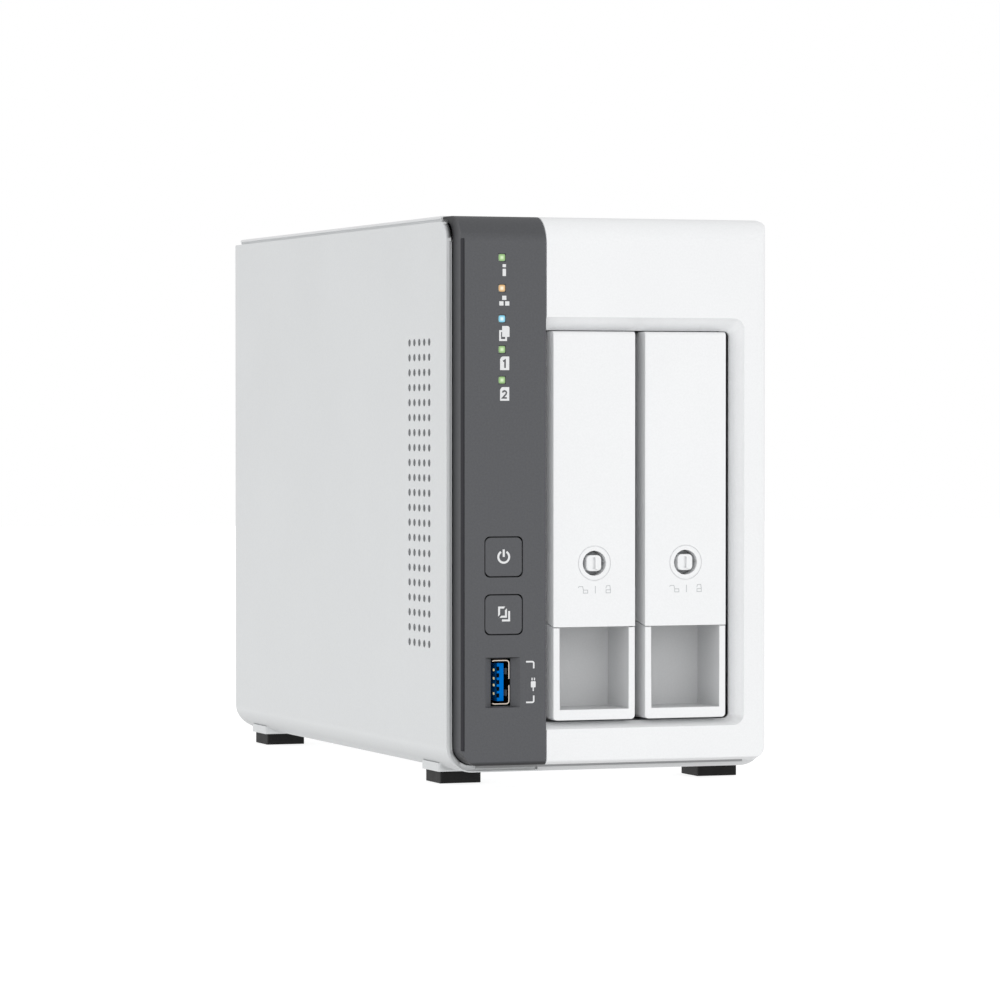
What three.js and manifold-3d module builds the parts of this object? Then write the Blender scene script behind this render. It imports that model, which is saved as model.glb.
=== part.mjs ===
// Two-bay network attached storage: a desktop box with a control column on the left of its front,
// two drive trays with swing-out levers and key locks on the right, and a fan and sockets at the back.
// Millimetres, +Z up. The origin is the middle of the footprint, on the surface that the feet stand on.
// The front faces -Y.
import * as THREE from "three";
import { mergeVertices } from "three/addons/utils/BufferGeometryUtils.js";
import Module from "manifold-3d";

const wasm = await Module();
wasm.setup();

// ---------- driving dimensions ----------
const WIDTH = 102;
const DEPTH = 221.6;
const HEIGHT = 168.8;
const WALL = 2; // thickness of the plastic shells
const GAP = 0.3; // clearance between neighbouring pieces
const LEFT = -WIDTH / 2;
const RIGHT = WIDTH / 2;
const FRONT = -DEPTH / 2;
const BACK = DEPTH / 2;

const FOOT = { size: 13, height: 4, centreX: 41.45, frontY: -82.25, backY: 91.4 };
const PAD_BOTTOM = 3.6; // underside of the moulded pads, each with a recess that its foot is glued into
const SHELL_BOTTOM = 4.2;
const SHELL_FRONT = -103.1; // front edge of the side and bottom walls
const TOP_FRONT = -94.3; // front edge of the top wall
const SIDE_TOP = 167; // top edge of the removable side cover
const GROOVE_TOP = 167.95; // the shadow line between the side cover and the top wall
const BOTTOM_RADIUS = 8;
const BACK_RADIUS = 7; // the bottom curves up at the back
const CORNER_RADIUS = 6; // upper front corner of the side walls
const SEAM_X = -22.5; // the control column ends and the white bezel begins
const CURVE_STEPS = 6;

const BEZEL_SIDE = 49; // half width of the front bezel
const BEZEL_BOTTOM = 6.5;
const BEZEL_TOP = 168.5;
const BEZEL_RADIUS = 8.4; // roll-over of the bezel's top edge
const BEZEL_CORNER = 6;
const BEZEL_BACK = SHELL_FRONT - GAP;
const BEZEL_WALL = 2.2;
const BAY = { right: 38.3, bottom: 18.7, top: 134.95 }; // narrowest outline of the drive opening

const VENT = { radius: 1.1, pitch: 4.5, columns: 5, rows: 21, lastY: -69.73, lowZ: 41.55 };

const PANEL_CENTRE_X = -35.82; // buttons
const BUTTON = { size: 11.5, radius: 1.7, travel: 0.8, powerZ: 68.1, copyZ: 51.1 };
const LED = { x: -36.37, size: 2.05, topZ: 156.13, pitch: 9 };
const USB_FRONT = { x: -36.2, z: 31.1 };
const USB_SHELL = { x: 5.7, z: 13.1, wall: 0.35 };
const FRONT_BOARD_Y = -95.6;

const TRAY_CENTRES = [-6.8, 22.4];
const TRAY = { half: 12.97, front: -109.8, bottom: 19.4, top: 134.65, seam: 47.05 };
const LEVER = { pivotY: -106.1, pivotZ: 131.2, back: -102.2, slope: 0.2, skin: 1.4, flange: 2 };
const LEVER_PIN = 0.9;
const POCKET_BACK = -92.8;
const LOCK_Z = 65.9;
const DRIVE = { x: 26.1, y: 147, z: 101.6, front: -89.8, bottom: 26.2 };

const CAGE = { front: -97, back: 62, left: -22.9, right: 38.4, top: 135.9, bottom: 17.4, sheet: 1.2 };
const BACKPLANE_Y = 63.2;
const BOARD_X = -46.4; // main board, standing on edge beside the cage
const BOARD_THICK = 1.6;

const PANEL_Y = 107.6; // front face of the back panel
const PANEL_SHEET = 1.2;
const FAN = { x: 5, z: 122, size: 80, depth: 25, duct: 38.25, hub: 17, tip: 36.6, holes: 71.5 };
const HEX = { acrossFlats: 7, pitch: 8.4, field: 38 };
const LAN = { x: -37.75, z: [54.5, 71.5], width: 13.5, height: 16, depth: 21 };
const USB_BACK = { x: [-41.35, -34.05], z: 37.5 };
const DC = { x: -39, z: 21.5 };
const RESET = { x: -26.5, z: 62 };
const LOCK_SLOT = { x: 40, z: 22 };

// ---------- materials ----------
const finish = (color, roughness, metalness = 0) =>
  new THREE.MeshStandardMaterial({ color, roughness, metalness });
const whitePlastic = finish(0xf1f2f3, 0.45);
const greyPlastic = finish(0xd8dadb, 0.5);
const darkPlastic = finish(0x5f6164, 0.55);
const blackPlastic = finish(0x1b1b1c, 0.5);
const rubber = finish(0x252525, 0.85);
const steel = finish(0xb9bcc0, 0.35, 0.9);
const aluminium = finish(0xc4c6c9, 0.4, 0.9);
const circuitBoard = finish(0x1f5a3a, 0.5);
const blueInsert = finish(0x0a5fc4, 0.4);
const clearAcrylic = finish(0xf4f6f6, 0.15);

// ---------- solids ----------
function toSolid(geometry) {
  const bare = geometry.index ? geometry.toNonIndexed() : geometry.clone();
  bare.deleteAttribute("normal");
  bare.deleteAttribute("uv");
  const merged = mergeVertices(bare, 1e-4);
  const vertProperties = new Float32Array(merged.attributes.position.array);
  const triVerts = new Uint32Array(merged.index.array);
  return new wasm.Manifold(new wasm.Mesh({ numProp: 3, vertProperties, triVerts }));
}

function toGeometry(solid) {
  const mesh = solid.getMesh();
  const geometry = new THREE.BufferGeometry();
  geometry.setAttribute("position", new THREE.BufferAttribute(mesh.vertProperties, 3));
  geometry.setIndex(new THREE.BufferAttribute(mesh.triVerts, 1));
  return geometry;
}

const join = (...solids) => solids.reduce((whole, next) => whole.add(next));
const cut = (body, ...tools) => tools.reduce((left, tool) => left.subtract(tool), body);

function block(x0, x1, y0, y1, z0, z1) {
  const box = new THREE.BoxGeometry(x1 - x0, y1 - y0, z1 - z0);
  return toSolid(box.translate((x0 + x1) / 2, (y0 + y1) / 2, (z0 + z1) / 2));
}

const axes = (x, y, z) => new THREE.Matrix4().makeBasis(x, y, z);
const X = new THREE.Vector3(1, 0, 0);
const Y = new THREE.Vector3(0, 1, 0);
const Z = new THREE.Vector3(0, 0, 1);
const BACKWARDS = new THREE.Vector3(0, -1, 0);

function extrude(shape, depth, steps = CURVE_STEPS) {
  return new THREE.ExtrudeGeometry(shape, { depth, bevelEnabled: false, curveSegments: steps });
}
// A (y, z) outline drawn out along X, an (x, z) outline along Y and an (x, y) outline along Z.
const alongX = (shape, x0, x1, steps) =>
  toSolid(extrude(shape, x1 - x0, steps).applyMatrix4(axes(Y, Z, X)).translate(x0, 0, 0));
const alongY = (shape, y0, y1, steps) =>
  toSolid(extrude(shape, y1 - y0, steps).applyMatrix4(axes(X, Z, BACKWARDS)).translate(0, y1, 0));
const alongZ = (shape, z0, z1, steps) =>
  toSolid(extrude(shape, z1 - z0, steps).translate(0, 0, z0));

// A rectangle from (a0, b0) to (a1, b1), its corners rounded in the order
// low-low, high-low, high-high, low-high.
function roundedRect(a0, a1, b0, b1, radii) {
  const [ll, hl, hh, lh] = typeof radii === "number" ? [radii, radii, radii, radii] : radii;
  const shape = new THREE.Shape();
  const quarter = Math.PI / 2;
  shape.moveTo(a0 + ll, b0);
  shape.lineTo(a1 - hl, b0);
  if (hl) shape.absarc(a1 - hl, b0 + hl, hl, -quarter, 0, false);
  shape.lineTo(a1, b1 - hh);
  if (hh) shape.absarc(a1 - hh, b1 - hh, hh, 0, quarter, false);
  shape.lineTo(a0 + lh, b1);
  if (lh) shape.absarc(a0 + lh, b1 - lh, lh, quarter, 2 * quarter, false);
  shape.lineTo(a0, b0 + ll);
  if (ll) shape.absarc(a0 + ll, b0 + ll, ll, 2 * quarter, 3 * quarter, false);
  return shape;
}

function polygon(points) {
  return new THREE.Shape(points.map(([a, b]) => new THREE.Vector2(a, b)));
}

// A round bar along Y, or a prism if there are few sides.
function bar(x, z, radius, y0, y1, sides = 16, turn = 0) {
  const cylinder = new THREE.CylinderGeometry(radius, radius, y1 - y0, sides);
  cylinder.rotateY(turn);
  return toSolid(cylinder.translate(x, (y0 + y1) / 2, z));
}

const pinAlongX = (y, z, radius, x0, x1, sides = 12) =>
  toSolid(
    new THREE.CylinderGeometry(radius, radius, x1 - x0, sides)
      .rotateZ(Math.PI / 2)
      .translate((x0 + x1) / 2, y, z),
  );

// A solid between two (x, z) outlines with equal numbers of points, the first at y0, the second at y1.
function loft(outline0, y0, outline1, y1) {
  const count = outline0.length;
  const points = [
    ...outline0.map((p) => [p.x, y0, p.y]),
    ...outline1.map((p) => [p.x, y1, p.y]),
  ];
  const faces = [];
  for (let i = 0; i < count; i++) {
    const j = (i + 1) % count;
    faces.push(i, i + count, j, j, i + count, j + count);
    if (i > 0 && i < count - 1) {
      faces.push(0, i, i + 1, count, count + i + 1, count + i);
    }
  }
  const geometry = new THREE.BufferGeometry();
  geometry.setAttribute("position", new THREE.Float32BufferAttribute(points.flat(), 3));
  geometry.setIndex(faces);
  return toSolid(geometry);
}

// ---------- the assembly ----------
const nas = new THREE.Group();

function add(name, solid, material, parent = nas, place = [0, 0, 0]) {
  const mesh = new THREE.Mesh(toGeometry(solid), material);
  mesh.name = name;
  mesh.position.set(...place);
  parent.add(mesh);
  return mesh;
}

// ---------- outer shells ----------
// The side view of the shells, grown or shrunk by inset. The floor curves up at the back to a low lip.
function shellSide(inset, top, back) {
  const arcZ = SHELL_BOTTOM + BACK_RADIUS;
  const shape = new THREE.Shape();
  shape.moveTo(FRONT - 1, SHELL_BOTTOM + inset);
  shape.lineTo(BACK - BACK_RADIUS, SHELL_BOTTOM + inset);
  shape.absarc(BACK - BACK_RADIUS, arcZ, BACK_RADIUS - inset, -Math.PI / 2, 0, false);
  shape.lineTo(back, arcZ);
  shape.lineTo(back, top);
  shape.lineTo(FRONT - 1, top);
  return shape;
}

function square(x, y, half, z0, z1) {
  return block(x - half, x + half, y - half, y + half, z0, z1);
}
const footPad = (x, y) => square(x, y, FOOT.size / 2 + 0.8, PAD_BOTTOM, SHELL_BOTTOM + WALL);
const footRecess = (x, y) => square(x, y, FOOT.size / 2 + 0.15, 0, FOOT.height + 0.2);

function ventHoles() {
  const holes = [];
  for (let column = 0; column < VENT.columns; column++) {
    for (let row = 0; row < VENT.rows; row++) {
      const y = VENT.lastY - column * VENT.pitch;
      const z = VENT.lowZ + row * VENT.pitch;
      holes.push(pinAlongX(y, z, VENT.radius, LEFT - 1, LEFT + WALL + 1, 6));
    }
  }
  return wasm.Manifold.union(holes);
}

function sideCover() {
  const right = SEAM_X - 0.1;
  const inner = BOTTOM_RADIUS - WALL;
  const outerFront = roundedRect(LEFT, right, SHELL_BOTTOM, SIDE_TOP, [BOTTOM_RADIUS, 0, 0, 0]);
  const innerFront = roundedRect(
    LEFT + WALL, right + 1, SHELL_BOTTOM + WALL, SIDE_TOP + 1, [inner, 0, 0, 0],
  );
  const sideOutline = roundedRect(SHELL_FRONT, BACK, 0, SIDE_TOP, [0, 0, 0.8, CORNER_RADIUS]);
  const outer = alongY(outerFront, SHELL_FRONT, BACK)
    .intersect(alongX(sideOutline, LEFT - 1, 0))
    .intersect(alongX(shellSide(0, HEIGHT, BACK + 1), LEFT - 1, 0));
  const hollow = alongY(innerFront, FRONT, BACK + 1)
    .intersect(alongX(shellSide(WALL, HEIGHT + 1, BACK + 1), LEFT - 1, 0));
  const feet = [FOOT.frontY, FOOT.backY];
  const pads = feet.map((y) => footPad(-FOOT.centreX, y));
  const recesses = feet.map((y) => footRecess(-FOOT.centreX, y));
  return cut(join(cut(outer, hollow), ...pads), ...recesses, ventHoles());
}

function mainShell() {
  const left = LEFT + 1.3;
  const inner = BOTTOM_RADIUS - WALL;
  const outerFront = roundedRect(left, RIGHT, SHELL_BOTTOM, HEIGHT, [0, BOTTOM_RADIUS, 1.2, 0.5]);
  const innerFront = roundedRect(
    left - 1, RIGHT - WALL, SHELL_BOTTOM + WALL, HEIGHT - WALL, [0, inner, 0.6, 0],
  );
  const frontEdge = new THREE.Shape();
  const cornerY = SHELL_FRONT + CORNER_RADIUS;
  const cornerZ = SIDE_TOP - CORNER_RADIUS;
  frontEdge.moveTo(SHELL_FRONT, 0);
  frontEdge.lineTo(BACK, 0);
  frontEdge.lineTo(BACK, HEIGHT - 2.4);
  frontEdge.absarc(BACK - 3.2, HEIGHT - 2, 2, 0, Math.PI / 2, false);
  frontEdge.lineTo(TOP_FRONT, HEIGHT);
  frontEdge.lineTo(TOP_FRONT, SIDE_TOP);
  frontEdge.lineTo(cornerY, SIDE_TOP);
  frontEdge.absarc(cornerY, cornerZ, CORNER_RADIUS, Math.PI / 2, Math.PI, false);
  const outer = alongY(outerFront, SHELL_FRONT, BACK)
    .intersect(alongX(frontEdge, left - 1, RIGHT + 1))
    .intersect(alongX(shellSide(0, HEIGHT + 1, BACK + 1), left - 1, RIGHT + 1));
  const hollow = alongY(innerFront, FRONT, BACK + 1)
    .intersect(alongX(shellSide(WALL, HEIGHT + 1, BACK + 1), left - 2, RIGHT + 1));
  const underTheCover = block(left - 1, SEAM_X + 0.2, FRONT, BACK + 1, 0, HEIGHT - WALL - 5);
  const bezelRoom = block(left - 1, RIGHT - WALL, FRONT, TOP_FRONT, 100, HEIGHT + 1);
  const topRebate = join(
    block(left - 1, left + 1.2, FRONT, BACK + 1, SIDE_TOP - 6, SIDE_TOP + GAP),
    block(left - 1, left + 0.4, FRONT, BACK + 1, SIDE_TOP, GROOVE_TOP),
  );
  const feet = [FOOT.frontY, FOOT.backY];
  const pads = feet.map((y) => footPad(FOOT.centreX, y));
  const recesses = feet.map((y) => footRecess(FOOT.centreX, y));
  return cut(join(cut(outer, hollow, underTheCover, bezelRoom, topRebate), ...pads), ...recesses);
}

// ---------- front bezel and control column ----------
// Side view of the bezel: flat face, rolled top edge, small radius at the bottom.
function bezelSide(inset, back) {
  return roundedRect(
    FRONT + inset, back, BEZEL_BOTTOM + inset, BEZEL_TOP - inset,
    [1.6, 0, 0, BEZEL_RADIUS - inset],
  );
}

// Side view of the room that the shells need behind the bezel's side walls: the walls follow the
// rounded upper corners of the shells, and the top wall runs on above them.
function shellRoom(x0, x1) {
  const radius = CORNER_RADIUS + 0.9;
  const arcY = SHELL_FRONT + CORNER_RADIUS + 0.6;
  const shape = new THREE.Shape();
  shape.moveTo(BEZEL_BACK, 0);
  shape.lineTo(BACK, 0);
  shape.lineTo(BACK, SIDE_TOP + 0.7);
  shape.lineTo(arcY, SIDE_TOP + 0.7);
  shape.absarc(arcY, SIDE_TOP + 0.7 - radius, radius, Math.PI / 2, Math.PI, false);
  return alongX(shape, x0, x1);
}
const behindTop = () => block(-WIDTH, WIDTH, TOP_FRONT - GAP, BACK, 0, HEIGHT + 1);

// The bezel's walls carry on inside the shells as a thin flange that closes the seam.
function innerFlange(x0, x1, radii) {
  const z0 = SHELL_BOTTOM + WALL + GAP;
  const top = SIDE_TOP - CORNER_RADIUS;
  const [ll, hl] = radii;
  const outer = roundedRect(x0, x1, z0, top, [ll, hl, 0, 0]);
  const inner = roundedRect(
    ll ? x0 + 1.2 : x0 - 1, hl ? x1 - 1.2 : x1 + 1, z0 + 1.2, top + 1,
    [Math.max(ll - 1.2, 0), Math.max(hl - 1.2, 0), 0, 0],
  );
  return cut(alongY(outer, BEZEL_BACK - 1.5, -99), alongY(inner, FRONT, 0));
}

function bayOutline(x1, z0, z1, radius) {
  return roundedRect(SEAM_X - 6, x1, z0, z1, [0, radius, radius, 0]).getPoints(4);
}

function frontBezel() {
  const left = SEAM_X + GAP;
  const outline = roundedRect(left - 1, BEZEL_SIDE, BEZEL_BOTTOM, BEZEL_TOP, [0, BEZEL_CORNER, 2, 0]);
  const innerOutline = roundedRect(
    left - 1, BEZEL_SIDE - BEZEL_WALL, BEZEL_BOTTOM + BEZEL_WALL, BEZEL_TOP - BEZEL_WALL,
    [0, BEZEL_CORNER - BEZEL_WALL, 0, 0],
  );
  const planView = roundedRect(left, BEZEL_SIDE, FRONT, TOP_FRONT, [0, 3.8, 0, 0]);
  const outer = alongX(bezelSide(0, TOP_FRONT), left, BEZEL_SIDE)
    .intersect(alongY(outline, FRONT, TOP_FRONT))
    .intersect(alongZ(planView, 0, HEIGHT + 1));
  const hollow = alongX(bezelSide(BEZEL_WALL, BACK), left - 1, BEZEL_SIDE)
    .intersect(alongY(innerOutline, FRONT, BACK));
  const wallRoom = shellRoom(BEZEL_SIDE - BEZEL_WALL, BEZEL_SIDE + 1);
  const floorRoom = block(left - 1, BEZEL_SIDE, BEZEL_BACK, BACK, 0, 100);
  const flange = innerFlange(left, RIGHT - WALL - GAP, [0, BOTTOM_RADIUS - WALL - GAP]);
  const skin = join(cut(outer, hollow, wallRoom, floorRoom, behindTop()), flange);
  const collar = block(left, 43, FRONT + 1, FRONT + 6.2, 15.2, 140.6);
  const mouth = loft(
    bayOutline(BAY.right + 3.24, BAY.bottom - 2.16, BAY.top + 4.6, 3.8), FRONT - 1,
    bayOutline(BAY.right, BAY.bottom, BAY.top, 1.8), FRONT + 5,
  );
  const throatOutline = roundedRect(left - 7, BAY.right, BAY.bottom, BAY.top, [0, 1.8, 1.8, 0]);
  const throat = alongY(throatOutline, FRONT + 4.9, FRONT + 9, 4);
  return cut(join(skin, collar), mouth, throat);
}

function controlPanel() {
  const left = -BEZEL_SIDE;
  const right = SEAM_X;
  const outline = roundedRect(left, right, BEZEL_BOTTOM, BEZEL_TOP, [BEZEL_CORNER, 0, 0, 0]);
  const innerOutline = roundedRect(
    left + 1.6, right - 1.6, BEZEL_BOTTOM + BEZEL_WALL, BEZEL_TOP - BEZEL_WALL,
    [BEZEL_CORNER - 1.6, 0, 0, 0],
  );
  const planView = roundedRect(left, right, FRONT, TOP_FRONT, [1, 0, 0, 0]);
  const outer = alongX(bezelSide(0, TOP_FRONT), left, right)
    .intersect(alongY(outline, FRONT, TOP_FRONT))
    .intersect(alongZ(planView, 0, HEIGHT + 1));
  const hollow = alongX(bezelSide(BEZEL_WALL, BACK), left, right)
    .intersect(alongY(innerOutline, FRONT, BACK));
  const wallRoom = shellRoom(left - 1, left + 1.6);
  const floorRoom = block(left, right - 1.6, BEZEL_BACK, BACK, 0, 100);
  const cageRoom = block(right - 2, right + 1, -99, BACK, 0, BEZEL_TOP - BEZEL_WALL);
  const flange = innerFlange(LEFT + WALL + GAP, right, [BOTTOM_RADIUS - WALL - GAP, 0]);
  const skin = join(cut(outer, hollow, wallRoom, floorRoom, cageRoom, behindTop()), flange);
  const edgeRebate = block(left - 1, left + 1, FRONT - 1, FRONT + 0.8, 11.1, 161.64);
  const buttonHoles = [BUTTON.powerZ, BUTTON.copyZ].map((z) => {
    const half = BUTTON.size / 2 + GAP;
    return alongY(
      roundedRect(PANEL_CENTRE_X - half, PANEL_CENTRE_X + half, z - half, z + half, BUTTON.radius),
      FRONT - 1, FRONT + 5, 3,
    );
  });
  const ledHoles = [];
  for (let i = 0; i < 5; i++) {
    const z = LED.topZ - i * LED.pitch;
    const half = LED.size / 2 + 0.15;
    ledHoles.push(block(LED.x - half, LED.x + half, FRONT - 1, FRONT + 5, z - half, z + half));
  }
  const usbMouth = loft(
    roundedRect(-42.9, -29.5, 23.5, 38.7, 0).getPoints(1), FRONT - 0.85,
    roundedRect(-39.3, -33.1, 24.1, 38.1, 0).getPoints(1), FRONT + 1.7,
  );
  const usbHole = block(-39.3, -33.1, FRONT + 1, FRONT + 5, 24.1, 38.1);
  return cut(skin, edgeRebate, ...buttonHoles, ...ledHoles, usbMouth, usbHole);
}

// ---------- buttons, lights and front board ----------
function pushButton() {
  const half = BUTTON.size / 2;
  const cap = alongY(roundedRect(-half, half, -half, half, BUTTON.radius), FRONT, FRONT + 2.7, 3);
  const flange = block(-half - 1, half + 1, FRONT + 2.5, FRONT + 3.5, -half - 1, half + 1);
  const stem = block(-2, 2, FRONT + 3.4, FRONT_BOARD_Y - 4.3, -2, 2);
  return join(cap, flange, stem);
}

function lightGuide() {
  const half = LED.size / 2;
  const lowZ = LED.topZ - 4 * LED.pitch;
  const runner = block(LED.x - half, LED.x + half, -101.6, -99.6, lowZ - half, LED.topZ + half);
  const prongs = [];
  for (let i = 0; i < 5; i++) {
    const z = LED.topZ - i * LED.pitch;
    prongs.push(block(LED.x - half, LED.x + half, FRONT + 0.05, -100, z - half, z + half));
  }
  return join(runner, ...prongs);
}

// A type A socket whose mouth faces -Y and whose long side is upright, centred on (0, 0).
function usbShell(y0, y1) {
  const outer = block(-USB_SHELL.x / 2, USB_SHELL.x / 2, y0, y1, -USB_SHELL.z / 2, USB_SHELL.z / 2);
  const a = USB_SHELL.x / 2 - USB_SHELL.wall;
  const b = USB_SHELL.z / 2 - USB_SHELL.wall;
  return cut(outer, block(-a, a, y0 - 1, y1 - 0.6, -b, b));
}
const usbTongue = (y0, y1) => block(-0.8, 1.3, y0, y1, -5.6, 5.6);

// ---------- drive trays ----------
// The lower edge of the lever rises towards the back, and the pocket's rim follows it.
const seamAt = (y, offset = 0) => TRAY.seam + offset + (y - TRAY.front) * LEVER.slope;

function leverSolid() {
  const { front, half, top } = TRAY;
  const { pivotY, pivotZ, back, skin, flange } = LEVER;
  const side = new THREE.Shape();
  side.moveTo(front, seamAt(front));
  side.lineTo(back, seamAt(back));
  side.lineTo(back, pivotZ);
  side.absarc(pivotY, pivotZ, back - pivotY, 0, Math.PI / 3, false);
  side.lineTo(pivotY, top);
  side.lineTo(front + 1.2, top);
  side.absarc(front + 1.2, top - 1.2, 1.2, Math.PI / 2, Math.PI, false);
  const body = alongX(side, -half, half, 5);
  const hollow = join(
    block(flange - half, half - flange, front + skin, back + 1, 0, top - 1.2),
    block(flange - half, half - flange, pivotY + 1.5, back + 1, 0, top + 1),
  );
  const hinge = pinAlongX(pivotY, pivotZ, LEVER_PIN + 0.25, -half - 1, half + 1);
  const boss = bar(0, LOCK_Z, 5, front + 1, -105.7, 16);
  const keyHole = bar(0, LOCK_Z, 3.75, front - 1, -105, 16);
  return cut(join(cut(body, hollow), boss), hinge, keyHole);
}

function hingeEar(x0, x1) {
  const { pivotY, pivotZ, back } = LEVER;
  const eye = pinAlongX(pivotY, pivotZ, 1.95, x0, x1);
  const web = block(x0, x1, pivotY, back + 1, pivotZ - 1.9, pivotZ + 0.3);
  return cut(join(eye, web), pinAlongX(pivotY, pivotZ, LEVER_PIN + 0.25, x0 - 1, x1 + 1));
}

// Two hooked posts: the lock's cam turns behind them.
function lockKeeper(sign) {
  const post = block(5.9, 7.1, -105.4, LEVER.back + 1, LOCK_Z - 1.5, LOCK_Z + 1.5);
  const lip = block(4, 6, -105.4, -104.2, LOCK_Z - 1.5, LOCK_Z + 1.5);
  return sign > 0 ? join(post, lip) : join(post, lip).mirror([1, 0, 0]);
}

function trayFrame() {
  const { half, front, bottom } = TRAY;
  const bulkFront = LEVER.back + GAP;
  const side = polygon([
    [front, bottom],
    [POCKET_BACK + 1.5, bottom],
    [POCKET_BACK + 1.5, 58.6],
    [bulkFront, 58.6],
    [bulkFront, seamAt(bulkFront, -GAP)],
    [front, seamAt(front, -GAP)],
  ]);
  const frontOutline = roundedRect(-half, half, bottom, DRIVE.z, [1.2, 1.2, 0, 0]);
  const pocket = cut(
    alongX(side, -half, half).intersect(alongY(frontOutline, front, 0, 4)),
    block(2 - half, half - 2, front - 1, POCKET_BACK, 22.5, 57),
    block(2 - half, half - 2, front - 1, bulkFront + 1, 40, 58),
  );
  const bulkhead = block(-half + 0.2, half - 0.2, bulkFront, bulkFront + 2, 57.5, 134.3);
  const driveBack = DRIVE.front + DRIVE.y;
  const bottomRail = block(-9, 9, POCKET_BACK + 1, driveBack, 19.2, 24.6);
  const topRail = block(-9, 9, bulkFront + 1, driveBack, 129.4, 134.3);
  const ears = [hingeEar(-10.5, -8), hingeEar(8, 10.5)];
  return join(pocket, bulkhead, bottomRail, topRail, ...ears, lockKeeper(1), lockKeeper(-1));
}

function lockKnob() {
  const face = bar(0, 0, 3.4, -106.4, -104.9, 16);
  const key = cut(
    alongY(roundedRect(-2.4, 2.4, -2.4, 2.4, 1.3), -109.5, -106.3, 2),
    block(-0.45, 0.45, -110, -108.9, -1.7, 1.7),
  );
  const shaft = bar(0, 0, 2.2, -105, -103.8, 12);
  const cam = block(-1.25, 1.25, -103.9, -102.7, -5.5, 5.5);
  return join(face, key, shaft, cam);
}

function hardDrive() {
  const half = DRIVE.x / 2;
  const back = DRIVE.front + DRIVE.y;
  const top = DRIVE.bottom + DRIVE.z;
  const body = alongX(
    roundedRect(DRIVE.front, back, DRIVE.bottom, top, 1.5), 3 - half, half - 0.8, 2,
  );
  const lid = alongX(
    roundedRect(DRIVE.front + 2, back - 4, DRIVE.bottom + 2, top - 2, 5), half - 1, half, 2,
  );
  const board = block(-half, 3.1 - half, DRIVE.front + 38, back - 1, DRIVE.bottom + 1, top - 1);
  return join(body, lid, board);
}

function addTray(number, centreX) {
  const tray = new THREE.Group();
  tray.position.x = centreX;
  nas.add(tray);
  const named = (piece) => `${piece}_${number}`;
  const driveTop = DRIVE.bottom + DRIVE.z;
  const strip = (z0) => block(-8.5, 8.5, DRIVE.front + 6, DRIVE.front + 128, z0, z0 + 1);
  add(named("tray_frame"), trayFrame(), whitePlastic, tray);
  add(named("tray_lever"), leverSolid(), whitePlastic, tray);
  const hingePin = pinAlongX(LEVER.pivotY, LEVER.pivotZ, LEVER_PIN, -TRAY.half + 0.4, TRAY.half - 0.4);
  add(named("lever_hinge_pin"), hingePin, steel, tray);
  add(named("lock_knob"), lockKnob(), whitePlastic, tray, [0, 0, LOCK_Z]);
  add(named("hard_drive"), hardDrive(), aluminium, tray);
  add(named("lower_drive_clip"), strip(DRIVE.bottom - GAP - 1), blackPlastic, tray);
  add(named("upper_drive_clip"), strip(driveTop + GAP), blackPlastic, tray);
}

// ---------- cage and boards ----------
function addCage() {
  const { front, back, left, right, top, bottom, sheet } = CAGE;
  const upright = (x) => block(x, x + sheet, front, back, bottom + sheet + GAP, top - GAP);
  add("cage_left_wall", upright(left), steel);
  add("cage_divider", upright((TRAY_CENTRES[0] + TRAY_CENTRES[1] - sheet) / 2), steel);
  add("cage_right_wall", upright(right - sheet), steel);
  add("cage_top_plate", block(left, right, front, back, top, top + sheet), steel);
  add("cage_floor_plate", block(left, right, front, back, bottom, bottom + sheet), steel);
  const floorZ = SHELL_BOTTOM + WALL + GAP;
  const pan = block(-42.5, 42.5, -97, 102, floorZ, floorZ + sheet);
  const rib = (x) => block(x, x + 3, front, back, floorZ + 1, bottom - GAP);
  add("base_pan", join(pan, rib(left + 4), rib(right - 7)), steel);
}

function heatsink() {
  const base = block(-44.5, -41.5, -12, 34, 52, 98);
  const fins = [];
  for (let i = 0; i < 8; i++) {
    const y = -12 + i * 6.35;
    fins.push(block(-41.6, -31, y, y + 1.5, 52, 98));
  }
  return join(base, ...fins);
}

function addBoards() {
  const boardTop = 112;
  const mainBoard = block(BOARD_X, BOARD_X + BOARD_THICK, -92, 102, 14, boardTop);
  add("main_board", mainBoard, circuitBoard);
  add("cpu_heatsink", heatsink(), aluminium);
  const battery = new THREE.CylinderGeometry(10, 10, 3.2, 20).rotateZ(Math.PI / 2);
  add("clock_battery", toSolid(battery), steel, nas, [BOARD_X + BOARD_THICK + GAP + 1.6, -45, 34]);
  const frontBoard = block(-47, -25, FRONT_BOARD_Y, FRONT_BOARD_Y + BOARD_THICK, 18, 160);
  add("front_board", frontBoard, circuitBoard);
  const backplane = block(-21.5, 37, BACKPLANE_Y, BACKPLANE_Y + BOARD_THICK, 21, 132);
  add("backplane_board", backplane, circuitBoard);
  const connector = () =>
    cut(
      block(-3, 3, 57.5, BACKPLANE_Y - GAP, -21, 21),
      block(-1.6, 0.6, 57, 61, -18.5, 18.5),
    );
  TRAY_CENTRES.forEach((x, i) => {
    add(`sata_connector_${i + 1}`, connector(), blackPlastic, nas, [x - 7, 0, 52]);
  });
}

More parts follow.
